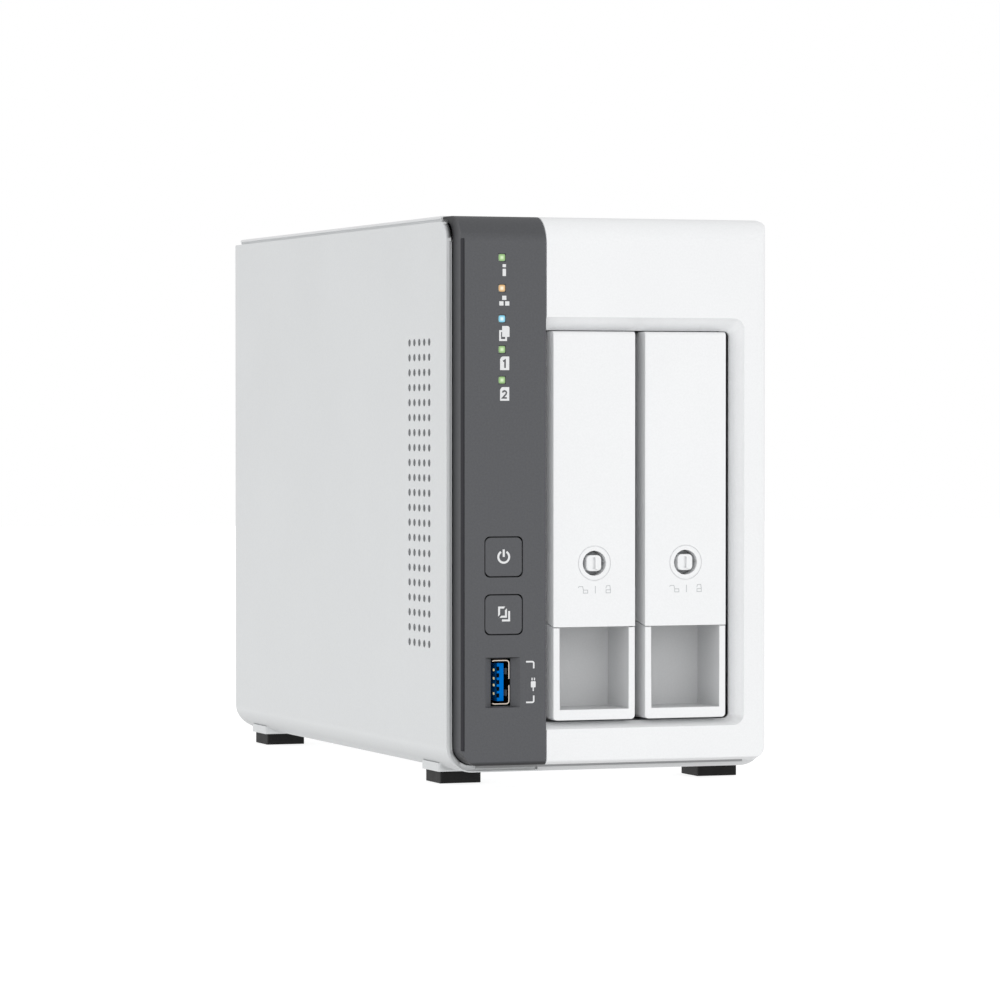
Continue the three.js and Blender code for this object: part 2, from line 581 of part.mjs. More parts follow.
function addControls() {
  add("power_button", pushButton(), darkPlastic, nas, [PANEL_CENTRE_X, 0, BUTTON.powerZ]);
  add("copy_button", pushButton(), darkPlastic, nas, [PANEL_CENTRE_X, 0, BUTTON.copyZ]);
  const keySwitch = () =>
    join(
      block(-3, 3, FRONT_BOARD_Y - 2.7, FRONT_BOARD_Y - GAP, -3, 3),
      bar(0, 0, 1.6, FRONT_BOARD_Y - 3.3, FRONT_BOARD_Y - 2.6, 10),
    );
  add("power_switch", keySwitch(), blackPlastic, nas, [PANEL_CENTRE_X, 0, BUTTON.powerZ]);
  add("copy_switch", keySwitch(), blackPlastic, nas, [PANEL_CENTRE_X, 0, BUTTON.copyZ]);
  add("led_light_guide", lightGuide(), clearAcrylic);
  const place = [USB_FRONT.x, 0, USB_FRONT.z];
  add("front_usb_shell", usbShell(FRONT + 1.9, FRONT_BOARD_Y - GAP), steel, nas, place);
  add("front_usb_insert", usbTongue(FRONT + 2.6, -96.8), blueInsert, nas, place);
}

// ---------- back ----------
function hexHoles() {
  const holes = [];
  const rowStep = (HEX.pitch * Math.sqrt(3)) / 2;
  const radius = HEX.acrossFlats / Math.sqrt(3);
  for (let row = -5; row <= 5; row++) {
    for (let column = -5; column <= 5; column++) {
      const x = (column + (row % 2 ? 0.5 : 0)) * HEX.pitch;
      const z = row * rowStep;
      if (Math.hypot(x, z) + HEX.acrossFlats / 2 > HEX.field) continue;
      holes.push(bar(FAN.x + x, FAN.z + z, radius, PANEL_Y - 1, PANEL_Y + 3, 6, 0));
    }
  }
  return wasm.Manifold.union(holes);
}

const screwPlaces = () => {
  const half = FAN.holes / 2;
  return [[-half, -half], [half, -half], [-half, half], [half, half]]
    .map(([x, z]) => [FAN.x + x, FAN.z + z]);
};
const COVER_SCREWS = [[-44.2, 161], [-44.2, 96]];

function backPanel() {
  const z0 = SHELL_BOTTOM + BACK_RADIUS + 0.6;
  const z1 = BEZEL_TOP - WALL - 0.4;
  const half = RIGHT - WALL - 0.4;
  const plate = block(-half, half, PANEL_Y, PANEL_Y + PANEL_SHEET, z0, z1);
  const leftFlange = block(-half, -half + PANEL_SHEET, 98, PANEL_Y + 0.5, 115, z1);
  const rightFlange = block(half - PANEL_SHEET, half, 98, PANEL_Y + 0.5, z0 + 2, z1);
  const opening = (x, z, w, h) =>
    block(x - w / 2, x + w / 2, PANEL_Y - 1, PANEL_Y + 3, z - h / 2, z + h / 2);
  const cuts = [
    ...LAN.z.map((z) => opening(LAN.x, z, LAN.width + 0.8, LAN.height + 0.6)),
    ...USB_BACK.x.map((x) => opening(x, USB_BACK.z, USB_SHELL.x + 0.8, USB_SHELL.z + 0.8)),
    opening(DC.x, DC.z, 10.8, 10.8),
    bar(RESET.x, RESET.z, 1.9, PANEL_Y - 1, PANEL_Y + 3, 10),
    opening(LOCK_SLOT.x, LOCK_SLOT.z, 3.2, 7.2),
    ...[...screwPlaces(), ...COVER_SCREWS]
      .map(([x, z]) => bar(x, z, 2, PANEL_Y - 1, PANEL_Y + 3, 8)),
  ];
  for (let i = 0; i < 8; i++) {
    cuts.push(opening(-9 + i * 6, 54, 2.6, 26));
  }
  return cut(join(plate, leftFlange, rightFlange), hexHoles(), ...cuts);
}

function fanFrame() {
  const y0 = PANEL_Y - 0.4 - FAN.depth;
  const y1 = PANEL_Y - 0.4;
  const half = FAN.size / 2;
  const body = alongY(roundedRect(-half, half, -half, half, 4), y0, y1, 3);
  const duct = bar(0, 0, FAN.duct, y0 - 1, y1 + 1, 32);
  const waist = (x0, x1, z0, z1) => block(x0, x1, y0 + 4, y1 - 4, z0, z1);
  const wide = half - 12;
  const waists = [
    waist(-wide, wide, half - 0.7, half + 1),
    waist(-wide, wide, -half - 1, 0.7 - half),
    waist(half - 0.7, half + 1, -wide, wide),
    waist(-half - 1, 0.7 - half, -wide, wide),
  ];
  const holes = [-1, 1].flatMap((i) =>
    [-1, 1].map((j) => bar((i * FAN.holes) / 2, (j * FAN.holes) / 2, 2.1, y0 - 1, y1 + 1, 8)),
  );
  const strut = block(-2, 2, y1 - 3, y1, -FAN.duct - 0.5, FAN.duct + 0.5);
  const struts = join(strut, strut.rotate([0, 90, 0])).rotate([0, 45, 0]);
  const hub = bar(0, 0, FAN.hub - 0.5, y1 - 3.4, y1, 20);
  return join(cut(body, duct, ...waists, ...holes), struts, hub);
}

// One blade: a plate pitched at 40 degrees at the hub and 24 at the tip.
function fanBlade(turn) {
  const rings = 4;
  const thick = 0.7;
  const points = [];
  for (let i = 0; i <= rings; i++) {
    const share = i / rings;
    const radius = FAN.hub - 2 + (FAN.tip - FAN.hub + 2) * share;
    const pitch = THREE.MathUtils.degToRad(40 - 16 * share);
    const chord = 9 + 4 * share;
    const sweep = 0.35 * share;
    for (const [a, b] of [[-1, -1], [1, -1], [1, 1], [-1, 1]]) {
      const across = a * chord * Math.cos(pitch) - b * thick * Math.sin(pitch);
      const along = a * chord * Math.sin(pitch) + b * thick * Math.cos(pitch);
      const angle = turn + sweep + across / radius;
      points.push(radius * Math.cos(angle), along, radius * Math.sin(angle));
    }
  }
  const faces = [0, 1, 2, 0, 2, 3];
  for (let i = 0; i < rings; i++) {
    for (let k = 0; k < 4; k++) {
      const a = 4 * i + k;
      const b = 4 * i + ((k + 1) % 4);
      faces.push(a, a + 4, b, b, a + 4, b + 4);
    }
  }
  const end = 4 * rings;
  faces.push(end, end + 2, end + 1, end, end + 3, end + 2);
  const geometry = new THREE.BufferGeometry();
  geometry.setAttribute("position", new THREE.Float32BufferAttribute(points, 3));
  geometry.setIndex(faces);
  return toSolid(geometry);
}

function fanRotor() {
  const hub = bar(0, 0, FAN.hub, -9.6, 9.4, 24);
  const blades = [];
  for (let i = 0; i < 7; i++) blades.push(fanBlade((i * 2 * Math.PI) / 7));
  return join(hub, ...blades);
}

function screw(length) {
  const head = bar(0, 0, 3.3, 0.2, 1.7, 12);
  const slot = join(block(-2, 2, 1, 3, -0.4, 0.4), block(-0.4, 0.4, 1, 3, -2, 2));
  const shank = bar(0, 0, 1.6, -length, 0.4, 8);
  return cut(join(head, shank), slot);
}

function lanPort() {
  const { width, height, depth } = LAN;
  const y1 = PANEL_Y + PANEL_SHEET;
  const body = block(-width / 2, width / 2, y1 - depth, y1, -height / 2, height / 2);
  const mouth = block(-width / 2 + 1.6, width / 2 - 3.6, y1 - 14, y1 + 1, -5.9, 5.9);
  const latchSlot = block(width / 2 - 3.7, width / 2 - 1.6, y1 - 14, y1 + 1, -3.1, 3.1);
  return cut(body, mouth, latchSlot);
}

function addBack() {
  add("back_panel", backPanel(), steel);
  add("fan_frame", fanFrame(), blackPlastic, nas, [FAN.x, 0, FAN.z]);
  add("fan_rotor", fanRotor(), blackPlastic, nas, [FAN.x, PANEL_Y - 14, FAN.z]);
  const outside = PANEL_Y + PANEL_SHEET;
  screwPlaces().forEach(([x, z], i) => {
    add(`fan_screw_${i + 1}`, screw(9), steel, nas, [x, outside, z]);
  });
  COVER_SCREWS.forEach(([x, z], i) => {
    add(`cover_screw_${i + 1}`, screw(6), steel, nas, [x, outside, z]);
  });
  LAN.z.forEach((z, i) => add(`lan_port_${i + 1}`, lanPort(), steel, nas, [LAN.x, 0, z]));
  USB_BACK.x.forEach((x, i) => {
    const socket = new THREE.Group();
    socket.position.set(x, 0, USB_BACK.z);
    socket.rotation.z = Math.PI; // its mouth faces the back
    nas.add(socket);
    add(`rear_usb_shell_${i + 1}`, usbShell(-outside - 0.4, 14 - outside), steel, socket);
    add(`rear_usb_insert_${i + 1}`, usbTongue(0.4 - outside, 13 - outside), blackPlastic, socket);
  });
  const jackBody = block(-5.1, 5.1, outside - 14, outside, -5.1, 5.1);
  const jack = join(
    cut(jackBody, bar(0, 0, 3.2, outside - 11, outside + 1, 20)),
    bar(0, 0, 1, outside - 12, outside - 1.5, 10),
  );
  add("dc_jack", jack, blackPlastic, nas, [DC.x, 0, DC.z]);
  const reset = join(
    bar(0, 0, 1.4, outside - 4.5, outside - 1.5, 10),
    bar(0, 0, 2.6, outside - 5.5, outside - 4.4, 10),
  );
  add("reset_button", reset, blackPlastic, nas, [RESET.x, 0, RESET.z]);
}

function addFeet() {
  const { size, height, centreX, frontY, backY } = FOOT;
  const half = size / 2;
  const places = [["front_left", -1, frontY], ["front_right", 1, frontY],
    ["back_left", -1, backY], ["back_right", 1, backY]];
  for (const [name, side, footY] of places) {
    const pad = alongZ(roundedRect(-half, half, -half, half, 0.5), 0, height, 2);
    add(`${name}_foot`, pad, rubber, nas, [side * centreX, footY, 0]);
  }
}

add("side_cover", sideCover(), greyPlastic);
add("main_shell", mainShell(), whitePlastic);
add("front_bezel", frontBezel(), whitePlastic);
add("control_panel", controlPanel(), darkPlastic);
addControls();
TRAY_CENTRES.forEach((centreX, i) => addTray(i + 1, centreX));
addCage();
addBoards();
addBack();
addFeet();

export default nas;
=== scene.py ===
"""Looks of the two-bay network attached storage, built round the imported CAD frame.

Lengths in this script are millimetres until they become mesh, which is in metres.
The front faces -Y, +Z is up.
"""
import math

import bmesh
import bpy
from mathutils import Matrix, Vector


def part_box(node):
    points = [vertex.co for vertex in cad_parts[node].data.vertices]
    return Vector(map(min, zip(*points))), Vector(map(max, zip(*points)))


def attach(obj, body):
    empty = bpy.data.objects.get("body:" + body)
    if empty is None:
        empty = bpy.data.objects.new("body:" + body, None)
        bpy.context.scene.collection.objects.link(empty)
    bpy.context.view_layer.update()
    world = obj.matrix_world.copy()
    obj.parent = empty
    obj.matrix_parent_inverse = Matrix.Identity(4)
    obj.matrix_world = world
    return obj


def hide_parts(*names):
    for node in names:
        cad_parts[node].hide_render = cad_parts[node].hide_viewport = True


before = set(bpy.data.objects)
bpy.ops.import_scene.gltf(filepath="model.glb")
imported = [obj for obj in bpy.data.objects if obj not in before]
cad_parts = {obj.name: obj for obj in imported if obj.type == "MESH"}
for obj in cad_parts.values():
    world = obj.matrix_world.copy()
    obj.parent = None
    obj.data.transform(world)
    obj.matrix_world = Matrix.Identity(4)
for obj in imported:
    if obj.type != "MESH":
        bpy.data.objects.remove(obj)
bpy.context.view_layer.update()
MM = 0.001


# ---------------------------------------------------------------- measuring the CAD frame
class Box:
    """A CAD node's box in millimetres."""

    def __init__(self, node):
        low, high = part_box(node)
        self.x0, self.y0, self.z0 = (v / MM for v in low)
        self.x1, self.y1, self.z1 = (v / MM for v in high)
        self.x, self.y, self.z = (
            (self.x0 + self.x1) / 2,
            (self.y0 + self.y1) / 2,
            (self.z0 + self.z1) / 2,
        )


PANEL = Box("control_panel")
COVER = Box("side_cover")
SHELL = Box("main_shell")
GUIDE = Box("led_light_guide")
FRONT = PANEL.y0
TRAY_NUMBERS = (1, 2)


# ---------------------------------------------------------------- materials
def linear(srgb):
    """A displayed colour, 0-255, as the linear colour that a shader takes."""
    out = []
    for v in srgb:
        c = v / 255
        out.append(c / 12.92 if c <= 0.04045 else ((c + 0.055) / 1.055) ** 2.4)
    return (*out, 1)


class Nodes:
    """A short way to write a node tree."""

    def __init__(self, name):
        self.material = bpy.data.materials.new(name)
        self.material.use_nodes = True
        self.tree = self.material.node_tree
        self.shader = self.tree.nodes["Principled BSDF"]
        self.coords = self.tree.nodes.new("ShaderNodeTexCoord").outputs["Object"]

    def add(self, kind, inputs=None, **settings):
        node = self.tree.nodes.new(kind)
        for key, value in settings.items():
            setattr(node, key, value)
        for key, value in (inputs or {}).items():
            if isinstance(value, bpy.types.NodeSocket):
                self.tree.links.new(value, node.inputs[key])
            else:
                node.inputs[key].default_value = value
        return node

    def link(self, output, socket):
        self.tree.links.new(output, self.shader.inputs[socket])

    def set(self, socket, value):
        self.shader.inputs[socket].default_value = value

    def noise(self, scale, detail=2.0, roughness=0.5):
        inputs = {"Vector": self.coords, "Scale": scale, "Detail": detail, "Roughness": roughness}
        return self.add("ShaderNodeTexNoise", inputs).outputs["Fac"]

    def spread(self, value, low, high):
        """A noise value, mostly between 0.3 and 0.7, spread from low to high."""
        inputs = {"Value": value, "From Min": 0.3, "From Max": 0.7, "To Min": low, "To Max": high}
        return self.add("ShaderNodeMapRange", inputs).outputs["Result"]

    def split(self, output):
        """X, Y and Z of the object's coordinates or of its own normals."""
        coords = self.tree.nodes.new("ShaderNodeTexCoord").outputs[output]
        return self.add("ShaderNodeSeparateXYZ", {0: coords}).outputs

    def fade(self, value, start, end, amount=1.0):
        """Nothing up to start, rising to amount at end."""
        inputs = {"Value": value, "From Min": start, "From Max": end, "To Min": 0.0, "To Max": amount}
        return self.add("ShaderNodeMapRange", inputs).outputs["Result"]

    def along(self, axis, span, amount=1.0):
        """Rises to amount over a span of the object's own coordinates, in millimetres."""
        start, end = span
        return self.fade(self.split("Object")[axis], start * MM, end * MM, amount)

    def facing(self, axis, start, end, amount=1.0):
        """Rises to amount as the surface turns along an axis of the object."""
        return self.fade(self.split("Normal")[axis], start, end, amount)

    def math(self, operation, a, b=0.0):
        return self.add("ShaderNodeMath", {0: a, 1: b}, operation=operation).outputs[0]

    def mix(self, amount, a, b):
        """Colour a, going over into colour b."""
        inputs = {"Factor": amount, "A": a, "B": b}
        return self.add("ShaderNodeMix", inputs, data_type="RGBA").outputs["Result"]

    def scaled(self, colour, factor):
        """A linear colour times a grey factor."""
        node = self.add("ShaderNodeVectorMath", {0: colour, "Scale": factor}, operation="SCALE")
        return node.outputs["Vector"]

    def tint(self, colour, factor):
        """A displayed colour times a grey factor."""
        return self.scaled(linear(colour)[:3], factor)

    def bump(self, height, strength, distance, normal=None):
        inputs = {"Height": height, "Strength": strength, "Distance": distance * MM}
        if normal is not None:
            inputs["Normal"] = normal
        return self.add("ShaderNodeBump", inputs).outputs["Normal"]


# Where painted light or shade changes on the object, in millimetres: from where the change starts to where
# it is complete.
UNDERSIDE_Z = (14, 10)
RIGHT_SLOPE_X = (43.2, 39)
TOP_SLOPE_Z = (139, 135)
UPPER_BEZEL_Z = (120, 125)
LIP_Z = (6.3, 5.6)
LIP_Y = (-100, -103)
COLUMN_SIDE_Y = (-109.5, -103.2)

WHITE_PLASTIC = ((226, 227, 228), 0.45, 0.35, 0.012)


def moulded(name, colour, roughness, grain, grain_depth, variation=0.02, specular=0.5):
    """The node tree of a moulded plastic and its colour, without the last link between them.

    It has a spark-eroded grain, faint flow unevenness, slightly uneven gloss and painted shade on the
    underside next to the feet. grain is the size of its grains in millimetres.
    """
    n = Nodes(name)
    fine = n.noise(0.6 / (grain * MM), 3.0, 0.6)
    coarse = n.noise(28.0, 3.0)
    speckle = n.math("MULTIPLY", n.spread(fine, 1 - variation, 1 + variation), n.spread(coarse, 0.99, 1.01))
    # Painted shade: surfaces that face down near the bottom are darker.
    shadow = n.math("MULTIPLY", n.along("Z", UNDERSIDE_Z), n.facing("Z", -0.15, -0.7, 0.25))
    n.link(n.spread(coarse, roughness - 0.03, roughness + 0.03), "Roughness")
    n.set("Specular IOR Level", specular)
    flow = n.bump(coarse, 0.15, 0.2)
    n.link(n.bump(fine, 0.6, grain_depth, flow), "Normal")
    return n, n.tint(colour, n.math("MULTIPLY", speckle, n.math("SUBTRACT", 1.0, shadow)))


def plastic(name, *moulding):
    n, tinted = moulded(name, *moulding)
    n.link(tinted, "Base Color")
    return n.material


def metal(name, colour, roughness, brushed):
    """Sheet or machined metal, with fine scratches along one axis."""
    n = Nodes(name)
    stretch = Vector((1, 1, 1)) * 900
    stretch[brushed] = 25
    mapped = n.add("ShaderNodeMapping", {"Vector": n.coords, "Scale": stretch}).outputs["Vector"]
    lines = n.add("ShaderNodeTexNoise", {"Vector": mapped, "Scale": 1.0, "Detail": 4.0})
    cloud = n.noise(45.0, 3.0)
    n.link(n.tint(colour, n.spread(cloud, 0.93, 1.05)), "Base Color")
    n.link(n.spread(lines.outputs["Fac"], roughness - 0.08, roughness + 0.1), "Roughness")
    n.set("Metallic", 0.9)
    n.link(n.bump(lines.outputs["Fac"], 0.25, 0.02), "Normal")
    return n.material


def spangled(name, colour):
    """Galvanised sheet: zinc crystals of a few millimetres, each a little lighter or darker."""
    n = Nodes(name)
    cells = n.add("ShaderNodeTexVoronoi", {"Vector": n.coords, "Scale": 260.0})
    shade = n.add("ShaderNodeRGBToBW", {"Color": cells.outputs["Color"]}).outputs["Val"]
    n.link(n.tint(colour, n.spread(shade, 0.86, 1.06)), "Base Color")
    n.link(n.spread(shade, 0.34, 0.5), "Roughness")
    n.set("Metallic", 0.85)
    n.link(n.bump(n.noise(700.0, 3.0), 0.2, 0.02), "Normal")
    return n.material


def board(name):
    """Green solder mask with faint square traces under it."""
    n = Nodes(name)
    bricks = n.add(
        "ShaderNodeTexBrick",
        {
            "Vector": n.coords,
            "Scale": 160.0,
            "Color1": linear((20, 92, 58)),
            "Color2": linear((16, 78, 50)),
            "Mortar": linear((34, 116, 76)),
            "Mortar Size": 0.03,
        },
    )
    n.link(bricks.outputs["Color"], "Base Color")
    n.link(n.spread(n.noise(300.0), 0.35, 0.5), "Roughness")
    n.link(n.bump(bricks.outputs["Fac"], 0.3, 0.03), "Normal")
    return n.material


def glow(name, centre, edge):
    """A lit lens: bright in its middle, its own colour towards its square rim."""
    n = Nodes(name)
    squares = n.add("ShaderNodeVectorMath", {0: n.coords, 1: n.coords}, operation="MULTIPLY")
    length = n.add("ShaderNodeVectorMath", {0: squares.outputs["Vector"]}, operation="LENGTH")
    reach = n.math("SQRT", length.outputs["Value"])
    ramp = n.add("ShaderNodeValToRGB", {"Fac": n.fade(reach, 0.05 * MM, 1.05 * MM)})
    stops = ramp.color_ramp.elements
    stops[0].color = linear(centre)
    stops[1].color = linear((104, 108, 104))
    stops.new(0.92).color = linear(edge)
    stops.new(0.7).color = linear(edge)
    stops.new(0.16).color = linear(centre)
    n.link(ramp.outputs["Color"], "Emission Color")
    n.set("Emission Strength", 1.0)
    n.set("Base Color", (0.02, 0.02, 0.02, 1))
    n.set("Specular IOR Level", 0.2)
    n.link(n.spread(n.noise(900.0), 0.25, 0.35), "Roughness")
    return n.material


def gilt(name):
    """Gold-plated contacts, with a painted glow for the light that they catch inside a socket."""
    n, tinted = moulded(name, (255, 240, 190), 0.4, 0.2, 0.01)
    n.link(tinted, "Base Color")
    # Painted light: the contacts glow.
    n.set("Emission Color", linear((240, 224, 170)))
    n.set("Emission Strength", 0.6)
    return n.material


def bezel_white(name):
    """White plastic with painted light, a little paler where the slopes of the drive opening come close to
    the trays.

    In the opening's right corners, where two slopes meet, painted shade makes it duller again.
    """
    n, tinted = moulded(name, *WHITE_PLASTIC)
    # Painted light and shade on the slopes of the drive opening, and painted shade where they meet in its
    # right corners.
    right = n.facing("X", -0.2, -0.6)
    right_painted_light = n.math("SUBTRACT", n.along("X", RIGHT_SLOPE_X, 0.4), 0.14)
    top = n.math("MULTIPLY", n.facing("Z", -0.2, -0.6), n.along("Z", UPPER_BEZEL_Z))
    top_painted_light = n.math("SUBTRACT", n.along("Z", TOP_SLOPE_Z, 0.27), 0.08)
    painted_light_and_shade = n.math("ADD", n.math("MULTIPLY", right, right_painted_light), n.math("MULTIPLY", top, top_painted_light))
    turned = n.math("ABSOLUTE", n.split("Normal")["Z"])
    corner = n.math("MULTIPLY", right, n.fade(turned, 0.15, 0.5, 0.2))
    painted_light_and_shade = n.math("MINIMUM", n.math("SUBTRACT", painted_light_and_shade, corner), 0.26)
    n.link(n.scaled(tinted, n.math("ADD", 1.0, painted_light_and_shade)), "Base Color")
    return n.material


def shell_white(name):
    """White plastic, with painted shade on the narrow lip under the front."""
    n, tinted = moulded(name, *WHITE_PLASTIC)
    # Painted shade: the lip low at the front is darker.
    lip = n.math("MULTIPLY", n.along("Z", LIP_Z, 0.2), n.along("Y", LIP_Y))
    n.link(n.scaled(tinted, n.math("SUBTRACT", 1.0, lip)), "Base Color")
    return n.material


def charcoal(name):
    """The control column's plastic, with painted shade on its side wall towards the side cover, above and
    below.

    The wall of the drive opening behind its right edge is painted white like the bezel, as painted light in
    the gap beside the tray.
    """
    n, tinted = moulded(name, (80, 81, 84), 0.55, 0.35, 0.03, 0.07, 0.3)
    # Painted shade: darker on the side wall near the side cover, and on faces turned down or up.
    side = n.math("MULTIPLY", n.along("Y", COLUMN_SIDE_Y), n.facing("X", -0.4, -0.9, 0.62))
    under = n.facing("Z", -0.15, -0.7, 0.8)
    above = n.facing("Z", 0.08, 0.4, 0.22)
    column_painted_shade = n.math("MAXIMUM", side, n.math("MAXIMUM", under, above))
    dark = n.mix(column_painted_shade, tinted, linear((14, 14, 15)))
    # Painted light: faces turned to +X are white.
    n.link(n.mix(n.facing("X", 0.93, 0.98), dark, linear((232, 233, 234))), "Base Color")
    return n.material


def rubber(name):
    """Black rubber, lighter on its left and right faces than on its front, as painted light."""
    n = Nodes(name)
    # Painted light: the left and right faces are lighter than the front.
    side = n.math("ABSOLUTE", n.split("Normal")["X"])
    side_painted_light = n.math("ADD", n.math("MULTIPLY", side, 2.4), 1.0)
    fine = n.spread(n.noise(2600.0, 3.0), 0.9, 1.1)
    n.link(n.tint((33, 33, 33), n.math("MULTIPLY", side_painted_light, fine)), "Base Color")
    n.link(n.spread(n.noise(300.0), 0.75, 0.9), "Roughness")
    n.set("Specular IOR Level", 0.15)
    n.link(n.bump(n.noise(1800.0, 3.0), 0.5, 0.04), "Normal")
    return n.material


WHITE = plastic("white_plastic_look", *WHITE_PLASTIC)
GREY = plastic("cool_grey_plastic_look", (213, 215, 216), 0.5, 0.35, 0.014)
CHARCOAL = charcoal("charcoal_plastic_look")
# Painted shade for the rebate along the column's left edge.
REBATE_SHADE = plastic("column_rebate_painted_shade_look", (46, 46, 50), 0.6, 0.3, 0.02, 0.05, 0.25)
# Painted shade for the spring fingers inside the sockets.
SPRING_SHADE = plastic("spring_painted_shade_look", (92, 93, 95), 0.7, 0.3, 0.01, 0.02, 0.2)
# Painted shade for the inside of the finger pockets.
POCKET = plastic("tray_pocket_look", (207, 208, 209), 0.5, 0.35, 0.012)
# Painted shade for the walls of the vent holes.
VENT = plastic("vent_wall_painted_shade_look", (168, 170, 172), 0.7, 0.3, 0.01, 0.02, 0.2)
# Painted shade for the gap in the seam below the column and the bezel.
SEAM_GAP_SHADE = plastic("lower_seam_painted_shade_look", (150, 151, 152), 0.7, 0.3, 0.01, 0.02, 0.2)
# Painted shade for the deep bed of the locks.
KNOB_BED = plastic("lock_bed_look", (150, 152, 154), 0.5, 0.3, 0.01, 0.02, 0.3)
BLACK = plastic("black_plastic_look", (24, 24, 26), 0.5, 0.4, 0.03, 0.05, 0.3)
# Black as painted shade: in gaps, inside socket shells and in the tongue's slots.
PITCH = plastic("painted_shade_black_look", (6, 6, 6), 0.9, 0.4, 0.01, 0.05, 0.05)
INK = plastic("print_white_look", (214, 215, 216), 0.55, 0.2, 0.006)
FADED_INK = plastic("print_grey_look", (182, 184, 186), 0.55, 0.2, 0.006)
DARK_INK = plastic("print_dark_look", (76, 77, 80), 0.55, 0.2, 0.006)
RUBBER = rubber("foot_rubber_look")
BLUE = plastic("blue_insert_look", (0, 108, 197), 0.6, 0.3, 0.01, 0.03, 0.0)
CLEAR = plastic("light_guide_look", (214, 220, 222), 0.2, 0.5, 0.004)
STEEL = metal("plated_steel_look", (205, 206, 208), 0.28, brushed=2)
TINNED = metal("tinned_shell_look", (212, 200, 188), 0.4, brushed=2)
CONTACT = gilt("gilt_contact_painted_glow_look")
SPANGLE = spangled("galvanised_steel_look", (176, 179, 182))
FINS = metal("heatsink_aluminium_look", (188, 190, 193), 0.38, brushed=2)
DRIVE = metal("drive_aluminium_look", (168, 171, 175), 0.42, brushed=1)
BOARD = board("circuit_board_look")

SLOT_LOOKS = {
    "white_plastic": WHITE,
    "cool_grey_plastic": GREY,
    "charcoal_plastic": CHARCOAL,
    "black_plastic": BLACK,
    "light_guide_acrylic": CLEAR,
    "plated_steel": STEEL,
    "galvanised_steel": SPANGLE,
    "circuit_board": BOARD,
    "blue_insert": BLUE,
    "heatsink_aluminium": FINS,
    "drive_aluminium": DRIVE,
    "foot_rubber": RUBBER,
}
NODE_LOOKS = {
    "front_bezel": bezel_white("bezel_white_look"),
    "main_shell": shell_white("shell_white_look"),
}
NODE_SLOTS = {n: o.material_slots[0].material.name.split(".")[0] for n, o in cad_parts.items()}


# ---------------------------------------------------------------- mesh helpers
JOIN_DISTANCE = 1e-6
FLAT_ANGLE = math.radians(0.6)
SMOOTH_ANGLE = math.radians(32)
EDGE_ANGLE = math.radians(35)
KEPT_EDGE_ANGLE = math.radians(40)


def rounded(a0, a1, b0, b1, radii, steps=8):
    """Outline of a rectangle, its corners rounded in the order low-low, high-low, high-high, low-high."""
    if not isinstance(radii, (list, tuple)):
        radii = [radii] * 4
    corners = [
        (a0, b0, 1, 1, math.pi),
        (a1, b0, -1, 1, 1.5 * math.pi),
        (a1, b1, -1, -1, 0),
        (a0, b1, 1, -1, 0.5 * math.pi),
    ]
    points = []
    for (a, b, sa, sb, start), r in zip(corners, radii):
        if r == 0:
            points.append((a, b))
            continue
        for i in range(steps + 1):
            t = start + i / steps * math.pi / 2
            points.append((a + sa * r + r * math.cos(t), b + sb * r + r * math.sin(t)))
    return points


def circle(a, b, r, steps):
    angles = [2 * math.pi * i / steps for i in range(steps)]
    return [(a + r * math.cos(t), b + r * math.sin(t)) for t in angles]


def ribbon(points, width, closed=False):
    """Outlines of a line of constant width, one four-sided outline for each stretch, mitred."""
    count = len(points)
    normals = []
    for i in range(count if closed else count - 1):
        a, b = Vector(points[i]), Vector(points[(i + 1) % count])
        d = (b - a).normalized()
        normals.append(Vector((-d.y, d.x)))
    sides = []
    for i in range(count):
        before = normals[i - 1] if (closed or i > 0) else normals[0]
        after = normals[i % len(normals)] if (closed or i < count - 1) else normals[-1]
        mid = (before + after).normalized()
        reach = width / 2 / max(mid.dot(after), 0.3)
        p = Vector(points[i])
        sides.append((p - mid * reach, p + mid * reach))
    quads = []
    for i in range(len(normals)):
        a, b = sides[i], sides[(i + 1) % count]
        quads.append([tuple(a[0]), tuple(b[0]), tuple(b[1]), tuple(a[1])])
    return quads


AXES = {"x": (1, 2, 0), "y": (0, 2, 1), "z": (0, 1, 2)}


def prism_into(bm, outline, axis, low, high):
    """Adds a solid whose outline, in the two other axes, is drawn out along one axis."""
    a, b, c = AXES[axis]
    rings = []
    for depth in (low, high):
        ring = []
        for p in outline:
            co = [0, 0, 0]
            co[a], co[b], co[c] = p[0] * MM, p[1] * MM, depth * MM
            ring.append(bm.verts.new(co))
        rings.append(ring)
    bm.faces.new(rings[0])
    bm.faces.new(list(reversed(rings[1])))
    for i in range(len(outline)):
        j = (i + 1) % len(outline)
        bm.faces.new([rings[0][j], rings[0][i], rings[1][i], rings[1][j]])


def finish_bmesh(name, bm):
    bmesh.ops.recalc_face_normals(bm, faces=bm.faces)
    mesh = bpy.data.meshes.new(name)
    bm.to_mesh(mesh)
    bm.free()
    made = bpy.data.objects.new(name, mesh)
    bpy.context.scene.collection.objects.link(made)
    return made


def prisms(name, outlines, axis, low, high):
    bm = bmesh.new()
    for outline in outlines:
        prism_into(bm, outline, axis, low, high)
    return finish_bmesh(name, bm)


def copy_of(name, node):
    """The shape of a CAD node as a new object, its split corners joined."""
    bm = bmesh.new()
    bm.from_mesh(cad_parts[node].data)
    bmesh.ops.remove_doubles(bm, verts=bm.verts, dist=JOIN_DISTANCE)
    return finish_bmesh(name, bm)


